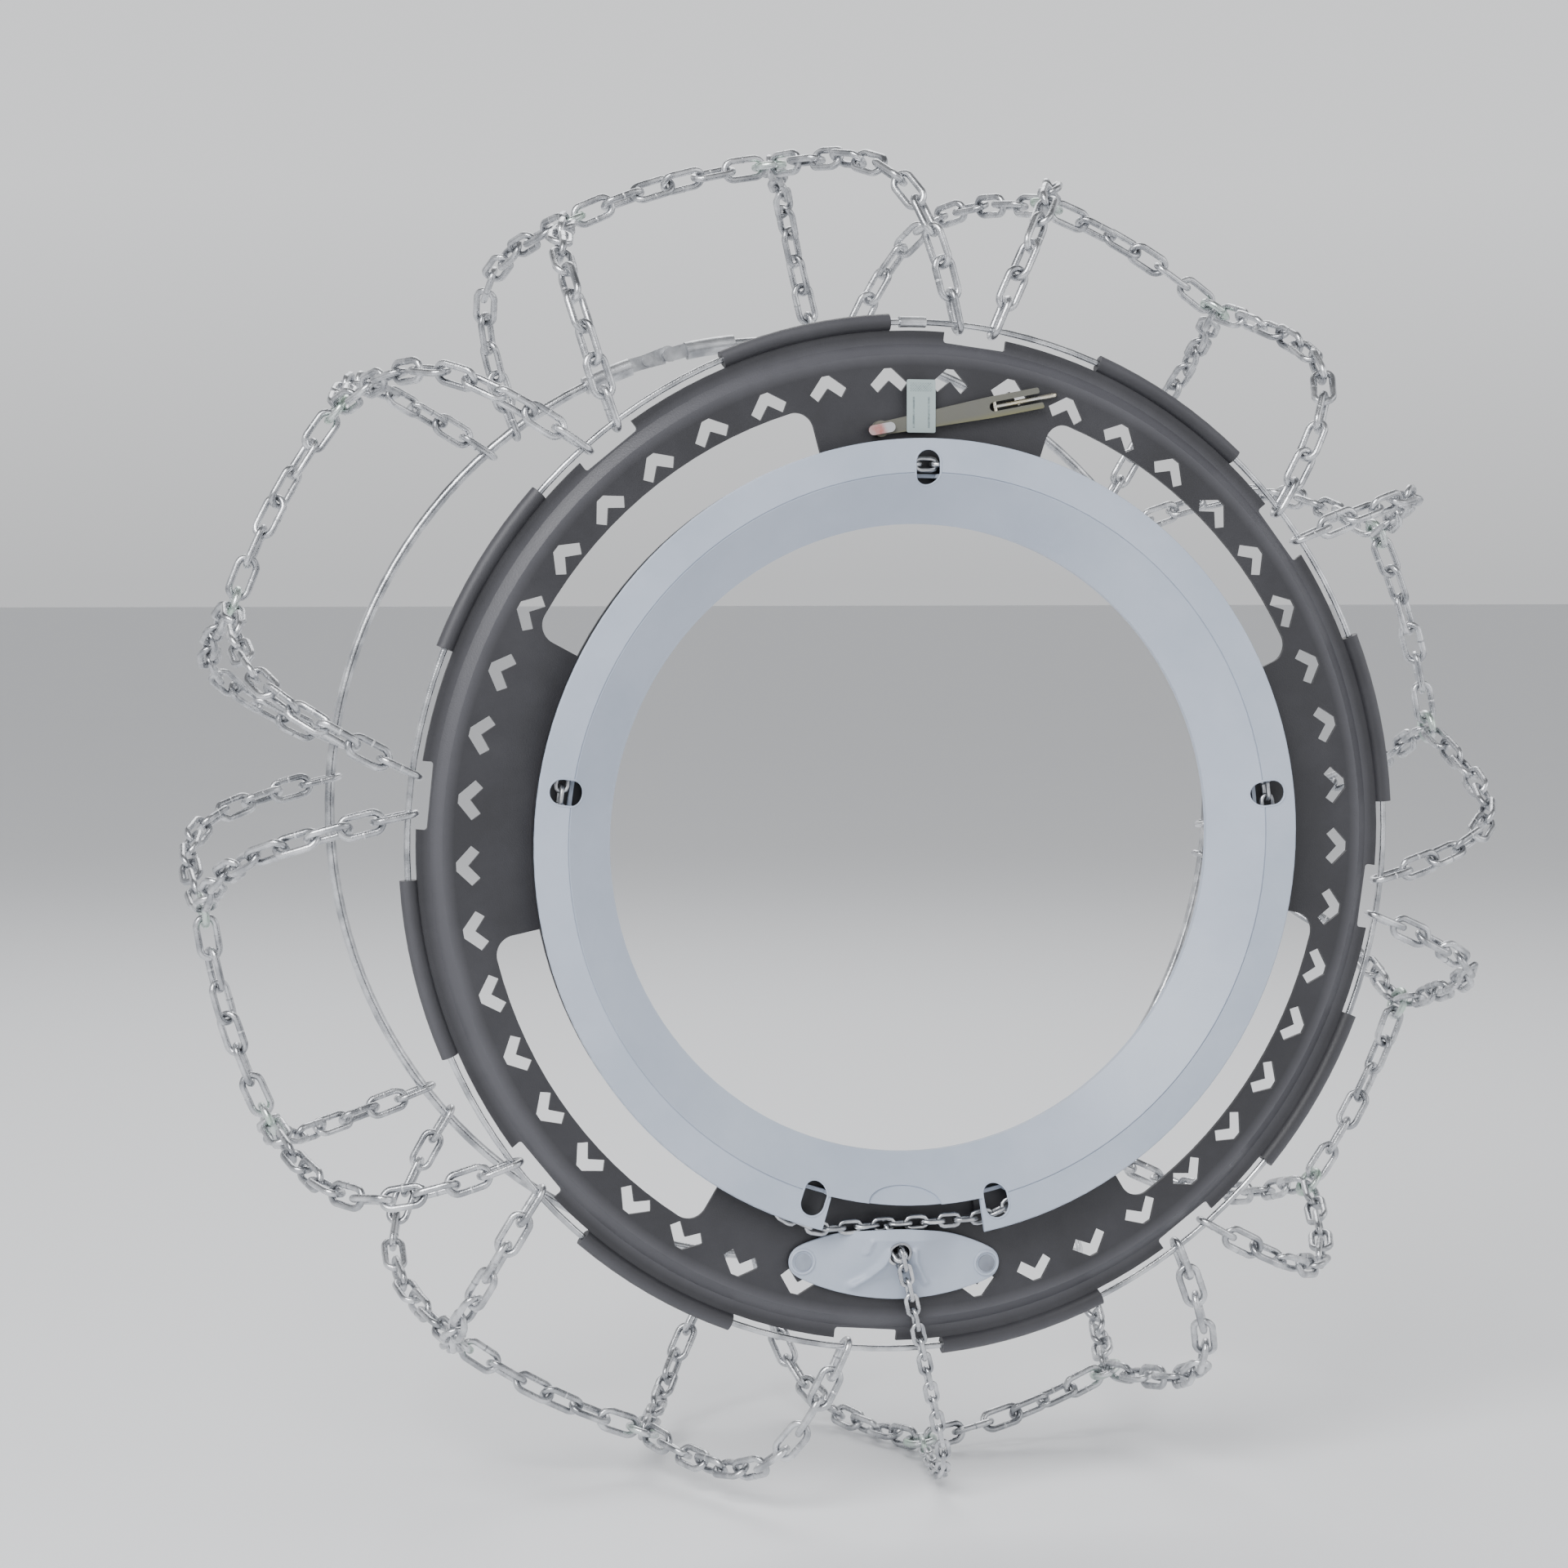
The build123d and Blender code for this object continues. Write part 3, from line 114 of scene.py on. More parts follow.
class PlasticFinishes(bpy.types.PropertyGroup):
    """Colours of the plastic and rubber pieces."""

    ring: colour("Ring", "Cover ring and lock cover", (0.43, 0.48, 0.57))
    ring_shade: colour("Ring shade", "Handled patches on the cover ring", (0.37, 0.42, 0.51))
    disc: colour("Disc", "Rubber disc", (0.020, 0.020, 0.024))
    # Lighter grey: random dusty patches, and also the painted sheen on the disc's step and hem.
    disc_dust_and_sheen: colour("Disc dust", "Dust on the disc's step and hem", (0.070, 0.070, 0.080))
    carrier: colour("Carrier", "Ring carrier behind the cover", (0.030, 0.031, 0.035))
    strap: colour("Strap", "Smoky closure strap", (0.115, 0.115, 0.108))
    strap_edge: colour("Strap edge", "Yellowed edge of the strap", (0.15, 0.145, 0.07))
    tag: colour("Tag", "Size tag", (0.33, 0.40, 0.40))
    tag_print: colour("Tag print", "Plain printed frame and band on the tag", (0.09, 0.12, 0.13))


class LockCover(bpy.types.PropertyGroup):
    """Sizes of the lock's pressed cover."""

    wall: length("Wall", "Wall thickness", 0.0016)
    rim_level: length("Rim level", "Rim's distance outboard of the hoop", 0.0078)
    crest: length("Crest level", "Top of the hood, outboard of the hoop", 0.0192)
    boss_height: length("Boss height", "Height of the rim round each rivet", 0.0008)
    rings: IntProperty(name="Rings", description="Rings of faces between throat and rim", default=30, min=8)
    spokes: IntProperty(name="Spokes", description="Faces round the throat", default=144, min=48)


class StageSettings(bpy.types.PropertyGroup):
    """Floor, lights and camera."""

    floor: colour("Floor", "Floor and backdrop", (0.90, 0.91, 0.93))
    key_power: FloatProperty(name="Key light", description="Key light's power", unit="POWER", default=105)
    fill_power: FloatProperty(name="Fill light", description="Fill light's power", unit="POWER", default=12)
    rim_power: FloatProperty(name="Back light", description="Back light's power", unit="POWER", default=30)
    sky: FloatProperty(name="Sky", description="Strength of the light from all round", default=1.1)
    ceiling: FloatProperty(name="Ceiling", description="Brightness overhead", default=0.26)
    wall: FloatProperty(name="Wall", description="Brightness of the walls", default=0.96)
    skirting: FloatProperty(name="Skirting", description="Brightness where walls meet floor", default=0.66)
    lens: FloatProperty(name="Lens", description="Camera lens in millimetres", default=80.7)


# ---- shader arithmetic -------------------------------------------------------------------------------


class Wire:
    """A shader socket that takes part in Python arithmetic."""

    def __init__(self, nodes, socket):
        self.nodes = nodes
        self.socket = socket

    def _math(self, operation, *others):
        inputs = {0: self} | {i + 1: other for i, other in enumerate(others)}
        return self.nodes.add("ShaderNodeMath", inputs, operation=operation)

    def __add__(self, other):
        return self._math("ADD", other)

    def __sub__(self, other):
        return self._math("SUBTRACT", other)

    def __rsub__(self, other):
        return self._math("MULTIPLY", -1.0) + other

    def __mul__(self, other):
        return self._math("MULTIPLY", other)

    def __truediv__(self, other):
        return self._math("DIVIDE", other)

    def absolute(self):
        """The value without its sign."""
        return self._math("ABSOLUTE")

    def clipped(self):
        """The value held between 0 and 1."""
        return self._math("MAXIMUM", 0.0)._math("MINIMUM", 1.0)

    def root(self):
        """The square root."""
        return self._math("SQRT")

    def wave(self):
        """The sine."""
        return self._math("SINE")

    def band(self, middle, half_width):
        """1 at a middle value, falling smoothly to 0 a half width away."""
        return (1.0 - ((self - middle) / half_width).absolute()).clipped()

    def step(self, low, high):
        """0 below a low value, 1 above a high one, and a straight ramp between them."""
        return ((self - low) / (high - low)).clipped()

    __radd__ = __add__
    __rmul__ = __mul__


class Nodes:
    """A node tree, with one way to add nodes to it."""

    def __init__(self, tree, coordinates):
        self.tree = tree
        self.place = self.add("ShaderNodeTexCoord", {}, output=coordinates)

    def add(self, kind, inputs, output=0, **settings):
        """Add a node, make its settings, set or link its inputs, and give one of its outputs back."""
        node = self.tree.nodes.new(kind)
        for key, value in settings.items():
            setattr(node, key, value)
        for key, value in inputs.items():
            self.feed(node.inputs[key], value)
        return Wire(self, node.outputs[output])

    def feed(self, socket, value):
        """Link a wire to a socket, or set the socket's own value."""
        if isinstance(value, Wire):
            self.tree.links.new(value.socket, socket)
        elif socket.type == "RGBA":
            socket.default_value = (*value, 1.0)
        else:
            socket.default_value = value

    def mix(self, share, first, second):
        """Blend two colours."""
        return self.add("ShaderNodeMix", {0: share, 6: first, 7: second}, output=2, data_type="RGBA")

    def axes(self):
        """The coordinates as three wires."""
        first = self.add("ShaderNodeSeparateXYZ", {0: self.place})
        return [Wire(self, socket) for socket in first.socket.node.outputs]


class Paint(Nodes):
    """One procedural material: a Principled shader, and what feeds it."""

    def __init__(self, name):
        self.material = bpy.data.materials.new(name)
        self.material.use_nodes = True
        super().__init__(self.material.node_tree, "Object")
        self.shader = self.tree.nodes["Principled BSDF"]

    def noise(self, scale, detail=3.0, rough=0.5):
        """Noise between 0 and 1 on the object's own coordinates."""
        return self.add("ShaderNodeTexNoise",
                        {"Vector": self.place, "Scale": scale, "Detail": detail, "Roughness": rough})

    def cells(self, scale):
        """Distance to the nearest cell centre."""
        return self.add("ShaderNodeTexVoronoi", {"Vector": self.place, "Scale": scale})

    def radius(self):
        """Distance from the disc's own axle."""
        x, _, z = self.axes()
        low = z + FACE_DROP * MM
        return (x * x + low * low).root()

    def set(self, **values):
        """Feed the shader's sockets: underscores stand for spaces in their names."""
        for key, value in values.items():
            self.feed(self.shader.inputs[key.replace("_", " ")], value)

    def bump(self, height, strength, distance):
        """Feed the shader's normal with a bump."""
        normal = self.add("ShaderNodeBump", {"Height": height, "Strength": strength, "Distance": distance})
        self.set(Normal=normal)


def wear(nodes, paint):
    """Give CAD nodes a material in every slot."""
    for name in nodes:
        for slot in NODES[name].material_slots:
            slot.material = paint.material


def named(*starts):
    """The CAD nodes whose names start with any of the words given."""
    return sorted(name for name in NODES if name.startswith(starts))


def plated_steel(name, bright, shade, roughness=0.24):
    """Plated steel: cloudy patches, fine drawing marks and a few duller scuffs."""
    paint = Paint(name)
    cloud = paint.noise(95, 4)
    grain = paint.noise(1900, 2)
    scuff = paint.cells(420).step(0.02, 0.30)
    paint.set(Base_Color=paint.mix(cloud.step(0.36, 0.66), shade, bright), Metallic=1.0,
              Roughness=cloud * 0.16 + grain * 0.10 + (1.0 - scuff) * 0.10 + (roughness - 0.10))
    paint.bump(grain + cloud * 0.6, 0.22, 0.0004)
    return paint


def moulded(name, bright, shade, roughness, grain_scale=1500, grain_depth=0.00012):
    """Moulded plastic: a fine leathery grain with faint handling marks."""
    paint = Paint(name)
    patches = paint.noise(16, 5, 0.6)
    grain = paint.noise(grain_scale, 3)
    paint.set(Base_Color=paint.mix(patches.step(0.35, 0.7), shade, bright),
              Roughness=patches * 0.14 + grain * 0.06 + (roughness - 0.1))
    paint.bump(grain, 0.35, grain_depth)
    return paint


def new_piece(name, bm, paint, body):
    """Turn a bmesh into a finished object that rides on a CAD body."""
    bmesh.ops.recalc_face_normals(bm, faces=bm.faces)
    mesh = bpy.data.meshes.new(name)
    bm.to_mesh(mesh)
    bm.free()
    mesh.shade_smooth()
    mesh.materials.append(paint.material)
    piece = bpy.data.objects.new(name, mesh)
    bpy.context.scene.collection.objects.link(piece)
    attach(piece, body)
    return piece


def connected(verts):
    """The vertices given and every vertex joined to them, each once and always in the same order."""
    found = dict.fromkeys(verts)
    stack = list(verts)
    while stack:
        vert = stack.pop()
        for edge in vert.link_edges:
            other = edge.other_vert(vert)
            if other not in found:
                found[other] = None
                stack.append(other)
    return list(found)


def edges_between(verts):
    """The edges that join the vertices given, each once and always in the same order."""
    inside = set(verts)
    return list(dict.fromkeys(edge for vert in verts for edge in vert.link_edges
                              if edge.other_vert(vert) in inside))


def only(items, *kinds):
    """The items of a bmesh operator's result that are of the kinds given, in the order they came."""
    return [item for item in items if isinstance(item, kinds)]


def add_modifier(piece, kind, **settings):
    """Add a modifier with its settings."""
    modifier = piece.modifiers.new(kind.title(), kind)
    for key, value in settings.items():
        setattr(modifier, key, value)
    return modifier


# ---- chain -------------------------------------------------------------------------------------------

TREAD_WIRE = 3.3 * MM
SMALL_WIRE = 2.2 * MM
SMALL_PITCH = 8.5 * MM
SMALL_WIDTH = 7.6 * MM
WIRE_SIDES = 8
BEND_STEPS = 5


def islands(mesh):
    """The loose shells of a mesh, each as an array of its points."""
    bm = bmesh.new()
    bm.from_mesh(mesh)
    bmesh.ops.remove_doubles(bm, verts=bm.verts, dist=1e-6)
    seen = set()
    shells = []
    for seed in bm.verts:
        if seed not in seen:
            shell = connected([seed])
            seen.update(shell)
            shells.append(np.array([vert.co[:] for vert in shell]))
    bm.free()
    return sorted(shells, key=lambda shell: tuple(shell.mean(0)))


def link_seat(shell):
    """A link's middle, its long direction, its width direction and its half width."""
    middle = shell.mean(0)
    spread = shell - middle
    _, directions = np.linalg.eigh(spread.T @ spread)
    along, across = directions[:, 2], directions[:, 1]
    return Vector(middle), Vector(along), Vector(across), float(np.abs(spread @ across).max())


class SNOWCHAIN_OT_links(bpy.types.Operator):
    """Plate the welded links, and put a weld bead on the side of each tread link"""

    bl_idname = "snowchain.links"
    bl_label = "Links and Welds"

    def execute(self, context):
        finish = context.scene.chain_finishes
        zinc = plated_steel("Zinc Plate", finish.zinc, finish.zinc_shade)
        tread = named("outer_v", "inner_v", "track_chain")
        wear(tread, zinc)
        wear(["tension_strand", "strand_lead", "strand_tail"], zinc)
        bm = bmesh.new()
        for node in tread:
            for shell in islands(NODES[node].data):
                middle, along, across, half_width = link_seat(shell)
                wire = TREAD_WIRE / 2
                seat = Matrix.Translation(middle + across * (half_width - wire))
                turn = along.to_track_quat("X", "Z").to_matrix().to_4x4()
                round_wire = wire * finish.bead_swell
                swell = Matrix.Diagonal((finish.bead_length / 2, round_wire, round_wire, 1))
                bmesh.ops.create_icosphere(bm, subdivisions=2, radius=1.0, matrix=seat @ turn @ swell)
        bead = plated_steel("Weld Bead", finish.zinc_shade, finish.zinc, roughness=0.38)
        new_piece("weld_beads", bm, bead, "chain")
        return {"FINISHED"}


def link_shape(wire, pitch, width):
    """One oval link lying flat, with its length along X: a section spun round both ends."""
    bend = (width - wire) / 2
    straight = (pitch + wire) / 2 - bend
    bm = bmesh.new()
    made = bmesh.ops.create_circle(bm, segments=WIRE_SIDES, radius=wire / 2)
    bmesh.ops.rotate(bm, verts=made["verts"], matrix=Matrix.Rotation(math.pi / 2, 3, "Y"))
    bmesh.ops.translate(bm, verts=made["verts"], vec=(-straight, bend, 0))
    section = list(bm.verts) + list(bm.edges)
    for hand in (1, -1):
        across = bmesh.ops.extrude_edge_only(bm, edges=only(section, bmesh.types.BMEdge))["geom"]
        bmesh.ops.translate(bm, verts=only(across, bmesh.types.BMVert), vec=(2 * hand * straight, 0, 0))
        turned = bmesh.ops.spin(bm, geom=only(across, bmesh.types.BMVert, bmesh.types.BMEdge),
                                cent=(hand * straight, 0, 0), axis=(0, 0, -1), angle=math.pi,
                                steps=BEND_STEPS)
        section = turned["geom_last"]
    bmesh.ops.remove_doubles(bm, verts=bm.verts, dist=wire / 100)
    mesh = bpy.data.meshes.new("link_shape")
    bm.to_mesh(mesh)
    bm.free()
    return mesh


class SNOWCHAIN_OT_tension_loop(bpy.types.Operator):
    """The tension chain under the cover ring, one oval link in each link's place"""

    bl_idname = "snowchain.tension_loop"
    bl_label = "Tension Loop"

    def execute(self, context):
        finish = context.scene.chain_finishes
        shape = link_shape(SMALL_WIRE, SMALL_PITCH, SMALL_WIDTH)
        bm = bmesh.new()
        for shell in islands(NODES["tension_loop"].data):
            middle, along, across, _ = link_seat(shell)
            before = len(bm.verts)
            bm.from_mesh(shape)
            bm.verts.ensure_lookup_table()
            turn = Matrix((along, across, along.cross(across))).transposed().to_4x4()
            bmesh.ops.transform(bm, verts=bm.verts[before:], matrix=Matrix.Translation(middle) @ turn)
        paint = plated_steel("Small Chain", finish.zinc, finish.zinc_shade, roughness=0.28)
        loop = new_piece("tension_loop_links", bm, paint, "chain")
        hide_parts("tension_loop")
        return {"FINISHED"}


class SNOWCHAIN_OT_tread_rings(bpy.types.Operator):
    """Tint the rings that tie the net together on the tread"""

    bl_idname = "snowchain.tread_rings"
    bl_label = "Tread Rings"

    def execute(self, context):
        finish = context.scene.chain_finishes
        tinted = plated_steel("Tinted Plate", finish.tint, finish.zinc, roughness=0.26)
        wear(["tread_rings", "strand_shackle"], tinted)
        return {"FINISHED"}


class SNOWCHAIN_OT_hoops(bpy.types.Operator):
    """Plate both hoops, the crimped sleeve and the inner coupling"""

    bl_idname = "snowchain.hoops"
    bl_label = "Hoops and Coupling"

    def execute(self, context):
        finish = context.scene.chain_finishes
        wire = plated_steel("Hoop Wire", finish.zinc, finish.zinc_shade, roughness=0.18)
        fitting = plated_steel("Fitting Plate", finish.zinc_shade, finish.zinc, roughness=0.34)
        wear(["outer_hoop", "inner_hoop"], wire)
        wear(named("hoop_sleeve", "coupling_"), fitting)
        return {"FINISHED"}


# ---- disc and ring -----------------------------------------------------------------------------------


# Radii of the disc's raised step and of its hem, where a painted sheen lightens the rubber.
STEP_CIRCLE = 0.2285
HEM_CIRCLE = 0.2445


class SNOWCHAIN_OT_disc(bpy.types.Operator):
    """Rubber disc: moulded grain, random dusty patches, and a painted sheen where its step and hem stand
    proud
    """

    bl_idname = "snowchain.disc"
    bl_label = "Disc"

    def execute(self, context):
        finish = context.scene.plastic_finishes
        paint = Paint("Disc Rubber")
        radius = paint.radius()
        patches = paint.noise(22, 5, 0.62)
        grain = paint.noise(1300, 3)
        # Painted sheen: the bands at the step and hem paint in the highlight that falls there; the random
        # patches are dust.
        dust_and_sheen = (radius.band(STEP_CIRCLE, 0.007) * 1.1 + radius.band(HEM_CIRCLE, 0.004) * 0.7
                + patches.step(0.4, 0.8) * 0.3)
        paint.set(Base_Color=paint.mix(dust_and_sheen.clipped(), finish.disc, finish.disc_dust_and_sheen),
                  Roughness=patches * 0.16 + grain * 0.08 + 0.40 - radius.band(STEP_CIRCLE, 0.006) * 0.08)
        paint.bump(grain + patches * 0.5, 0.45, 0.00025)
        wear(["disc"], paint)
        return {"FINISHED"}


# The oval windows over the tension chain, in millimetres and degrees in the disc's own directions.
WINDOW_ANGLES = (93.5, 175.0, 10.0, 255.0, 285.0)
WINDOW_CIRCLE = 174.0
WINDOW_HALF_LENGTH = 8.5
WINDOW_HALF_WIDTH = 6.2
SEAM_CIRCLE = 171.0
RIM_FACE = 18.0
SLOPE = 0.748
WINDOW_RIM = 0.55


class SNOWCHAIN_OT_ring(bpy.types.Operator):
    """Cover ring, its carrier and its screws"""

    bl_idname = "snowchain.ring"
    bl_label = "Cover Ring"

    def execute(self, context):
        finish = context.scene.plastic_finishes
        steel = context.scene.chain_finishes
        ring = moulded("Ring Plastic", finish.ring, finish.ring_shade, 0.42)
        wear(["cover_ring"], ring)
        rims = bmesh.new()
        for angle in WINDOW_ANGLES:
            self.add_window_rim(rims, math.radians(angle))
        new_piece("ring_window_rims", rims, ring, "chain")
        wear(["ring_carrier"], moulded("Carrier Plastic", finish.carrier, finish.disc, 0.5))
        wear(["ring_screws"], plated_steel("Screw Steel", steel.zinc_shade, steel.dark_steel, roughness=0.3))
        return {"FINISHED"}

    def add_window_rim(self, bm, angle):
        """A thin round bead that follows a window's edge over the rim and down the slope."""
        out = Vector((math.cos(angle), math.sin(angle)))
        side = Vector((-out.y, out.x))
        straight = WINDOW_HALF_LENGTH - WINDOW_HALF_WIDTH
        made = bmesh.ops.create_circle(bm, segments=WIRE_SIDES, radius=WINDOW_RIM)
        bmesh.ops.rotate(bm, verts=made["verts"], matrix=Matrix.Rotation(math.pi / 2, 3, "X"))
        bmesh.ops.translate(bm, verts=made["verts"], vec=(straight, WINDOW_HALF_WIDTH, 0))
        section = made["verts"] + edges_between(made["verts"])
        bmesh.ops.rotate(bm, verts=made["verts"], cent=(straight, WINDOW_HALF_WIDTH, 0),
                         matrix=Matrix.Rotation(math.pi / 2, 3, "Z"))
        for hand in (1, -1):
            turned = bmesh.ops.spin(bm, geom=section, cent=(hand * straight, 0, 0), axis=(0, 0, -1),
                                    angle=math.pi, steps=16)
            edges = only(turned["geom_last"], bmesh.types.BMEdge)
            run = bmesh.ops.extrude_edge_only(bm, edges=edges)["geom"]
            bmesh.ops.translate(bm, verts=only(run, bmesh.types.BMVert), vec=(-2 * hand * straight, 0, 0))
            section = only(run, bmesh.types.BMVert, bmesh.types.BMEdge)
        bmesh.ops.remove_doubles(bm, verts=connected(made["verts"]), dist=WINDOW_RIM / 100)
        for vert in connected([vert for vert in made["verts"] if vert.is_valid]):
            place = out * (WINDOW_CIRCLE + vert.co.x) + side * vert.co.y
            level = RIM_FACE - max(0.0, SEAM_CIRCLE - place.length) * SLOPE
            vert.co = on_face(place.x, place.y, level + vert.co.z - WINDOW_RIM * 0.4)


# ---- lock --------------------------------------------------------------------------------------------

# The lock's outline about its middle, and the throat, in millimetres in the disc's own directions.
LOCK_MIDDLE = -199.5
LOCK_TIP = 52.5
LOCK_HALF_HEIGHT = 17.5
LOCK_JOIN = 47.7
LOCK_JOIN_HEIGHT = 7.5
THROAT = (-1.0, -194.1)
THROAT_HALF_WIDTH = 5.7
THROAT_HALF_HEIGHT = 5.8
SLOT_HALF_WIDTH = 1.75
SLOT_FOOT = (4.2, -205.2)
SLOT_FLARE = 1.6
SLOT_SQUARENESS = 0.35
SLOT_LAP = 0.8
BOSS_AT = 45.6
BOSS_RADIUS = 5.6
BOSS_HALF_WIDTH = 0.75
HOOD_FLAT = 7.0
HOOD_FALL = 27.0
RING_SPACING = 1.15
# The hood's height along the strand, as pairs of a place and its share of the crest.
HOOD_STEPS = ((-187.4, 1.0), (-198.8, 0.545), (-206.8, 0.155), (-216.4, 0.0))
# The ribs beside the strand: their routes, and the width and rise of each.
RIB_ROUTES = (((-5.6, -193.6), (-8.5, -200.0), (-14.0, -206.0), (-21.0, -210.5)),
              ((6.4, -193.0), (8.0, -198.5), (11.5, -203.5), (15.0, -208.5)),
              ((-15.0, -188.6), (-16.0, -192.6), (-16.2, -193.2), (-16.4, -194.0)))
RIB_SIZES = ((1.9, 3.4), (1.5, 2.9), (1.1, 2.0))


def lens_edge(angle):
    """Distance from the lock's middle to its outline at an angle."""
    across, up = math.cos(angle), math.sin(angle)
    low, high = 0.0, 60.0
    for _ in range(40):
        middle = (low + high) / 2
        if inside_lens(across * middle, up * middle):
            low = middle
        else:
            high = middle
    return low


def inside_lens(u, v):
    """Whether a place, about the lock's middle, lies on the lock."""
    sag = LOCK_HALF_HEIGHT - LOCK_JOIN_HEIGHT
    arc = (LOCK_JOIN**2 + sag**2) / (2 * sag)
    if abs(u) <= LOCK_JOIN:
        return abs(v) <= LOCK_HALF_HEIGHT - arc + math.sqrt(arc**2 - u**2)
    end = LOCK_TIP - LOCK_JOIN
    end_arc = (LOCK_JOIN_HEIGHT**2 + end**2) / (2 * end)
    return abs(u) <= LOCK_TIP and (abs(u) - LOCK_TIP + end_arc) ** 2 + v**2 <= end_arc**2


def throat_edge(angle):
    """A place on the throat's outline, with its slot below, at an angle about the throat's middle."""
    across, up = math.cos(angle), math.sin(angle)
    reach = 1.0 / math.sqrt((across / THROAT_HALF_WIDTH) ** 2 + (up / THROAT_HALF_HEIGHT) ** 2)
    place = Vector((THROAT[0] + across * reach, THROAT[1] + up * reach))
    foot = Vector(SLOT_FOOT)
    way = foot - Vector(THROAT)
    lean = math.atan2(way.y, way.x)
    off = (angle - lean + math.pi) % (2 * math.pi) - math.pi
    half = math.asin(SLOT_HALF_WIDTH / THROAT_HALF_HEIGHT) * SLOT_FLARE
    if abs(off) < half:
        side = Vector((-way.y, way.x)).normalized()
        share = off / half
        run = math.sqrt(max(0.0, 1 - share**2)) ** SLOT_SQUARENESS
        start = Vector(THROAT) + way.normalized() * THROAT_HALF_HEIGHT
        depth = (foot - start).length
        place = start + way.normalized() * (depth * run - SLOT_LAP) + side * (share * SLOT_HALF_WIDTH)
    return place


def to_segment(place, first, second):
    """Distance from a place to a straight piece of a route."""
    way = second - first
    share = max(0.0, min(1.0, (place - first).dot(way) / way.length_squared))
    return (place - first - way * share).length


def cover_level(u, v, settings):
    """Height of the pressed cover: a hood that peaks at the throat, with ribs beside the strand."""
    rim, crest = settings.rim_level / MM, settings.crest / MM
    height = 0.0
    for (high, high_share), (low, low_share) in zip(HOOD_STEPS, HOOD_STEPS[1:]):
        if v >= low:
            share = min(1.0, (v - low) / (high - low))
            height = low_share + (high_share - low_share) * share
            break
    spread = max(0.0, 1.0 - max(0.0, abs(u - THROAT[0]) - HOOD_FLAT) / HOOD_FALL)
    level = height * spread * spread * (3 - 2 * spread) * (crest - rim)
    place = Vector((u, v))
    for route, (size, rise) in zip(RIB_ROUTES, RIB_SIZES):
        points = [Vector(point) for point in route]
        near = min(to_segment(place, a, b) for a, b in zip(points, points[1:]))
        level += rise * math.exp(-((near / size) ** 2))
    return rim + level


class SNOWCHAIN_OT_lock_cover(bpy.types.Operator):
    """The lock's pressed cover: a lens that rises to a hooded throat, with a rimmed boss at each end"""

    bl_idname = "snowchain.lock_cover"
    bl_label = "Lock Cover"

    def execute(self, context):
        settings = context.scene.lock_cover
        finish = context.scene.plastic_finishes
        bm = bmesh.new()
        made = bmesh.ops.create_circle(bm, segments=settings.spokes, radius=1.0, cap_ends=False)
        angles = [math.atan2(vert.co.y, vert.co.x) for vert in made["verts"]]
        inner = [throat_edge(angle) for angle in angles]
        loop = list(made["verts"])
        rows = [loop]
        for _ in range(settings.rings):
            grown = bmesh.ops.extrude_edge_only(bm, edges=edges_between(loop))
            beside = {}
            for vert in only(grown["geom"], bmesh.types.BMVert):
                for edge in vert.link_edges:
                    other = edge.other_vert(vert)
                    if other in loop:
                        beside[other] = vert
            loop = [beside[vert] for vert in loop]
            rows.append(loop)
        for row, verts in enumerate(rows):
            share = row / settings.rings
            for vert, angle, start in zip(verts, angles, inner):
                reach = lens_edge(angle)
                end = Vector((reach * math.cos(angle), LOCK_MIDDLE + reach * math.sin(angle)))
                u, v = start.lerp(end, share**RING_SPACING)
                vert.co = on_face(u, v, cover_level(u, v, settings))
        paint = moulded("Lock Cover Plastic", finish.ring, finish.ring_shade, 0.40)
        cover = new_piece("lock_cover", bm, paint, "chain")
        add_modifier(cover, "SOLIDIFY", thickness=settings.wall, offset=-1.0, use_even_offset=True)
        add_modifier(cover, "SUBSURF", levels=1, render_levels=1)
        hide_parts("lock_plate")
        rims = bmesh.new()
        for hand in (-1, 1):
            self.add_boss(rims, hand * BOSS_AT, settings)
        rim_piece = new_piece("lock_boss_rims", rims, paint, "chain")
        add_modifier(rim_piece, "SUBSURF", levels=1, render_levels=1)
        return {"FINISHED"}

    def add_boss(self, bm, u, settings):
        """Spin a small rounded section round a rivet."""
        rim = settings.rim_level / MM
        centre = on_face(u, LOCK_MIDDLE, rim)
        made = bmesh.ops.create_circle(bm, segments=10, radius=1.0)
        seat = on_face(u + BOSS_RADIUS, LOCK_MIDDLE, rim)
        side = (on_face(1, 0, 0) - on_face(0, 0, 0)).normalized()
        for vert in made["verts"]:
            across = side * (vert.co.x * BOSS_HALF_WIDTH * MM)
            vert.co = seat + across + Vector((0, -vert.co.y * settings.boss_height, 0))
        bmesh.ops.spin(bm, geom=made["verts"] + edges_between(made["verts"]), cent=centre, axis=(0, 1, 0),
                       angle=math.tau, steps=40, use_merge=True)


class SNOWCHAIN_OT_lock_steel(bpy.types.Operator):
    """Base, pawl, pin, spring, eyelet and rivets of the lock"""

    bl_idname = "snowchain.lock_steel"
    bl_label = "Lock Steel"

    def execute(self, context):
        finish = context.scene.chain_finishes
        plastic = context.scene.plastic_finishes
        wear(["lock_base"], moulded("Lock Base", plastic.carrier, plastic.disc, 0.5))
        wear(["lock_pawl", "pawl_pin", "pawl_spring"],
             plated_steel("Lock Steel", finish.dark_steel, finish.zinc_shade, roughness=0.32))
        wear(["throat_eyelet"], plated_steel("Eyelet Plate", finish.zinc, finish.zinc_shade, roughness=0.2))
        wear(["lock_rivets"], moulded("Rivet Cap", plastic.ring_shade, plastic.disc_dust_and_sheen, 0.5))
        return {"FINISHED"}


# ---- closure -----------------------------------------------------------------------------------------

# The strap's slope, and the heights at the axle between which its lower edge turns yellow.
STRAP_SLOPE = 0.196
STRAP_LOWER_EDGE = (0.1885, 0.1850)


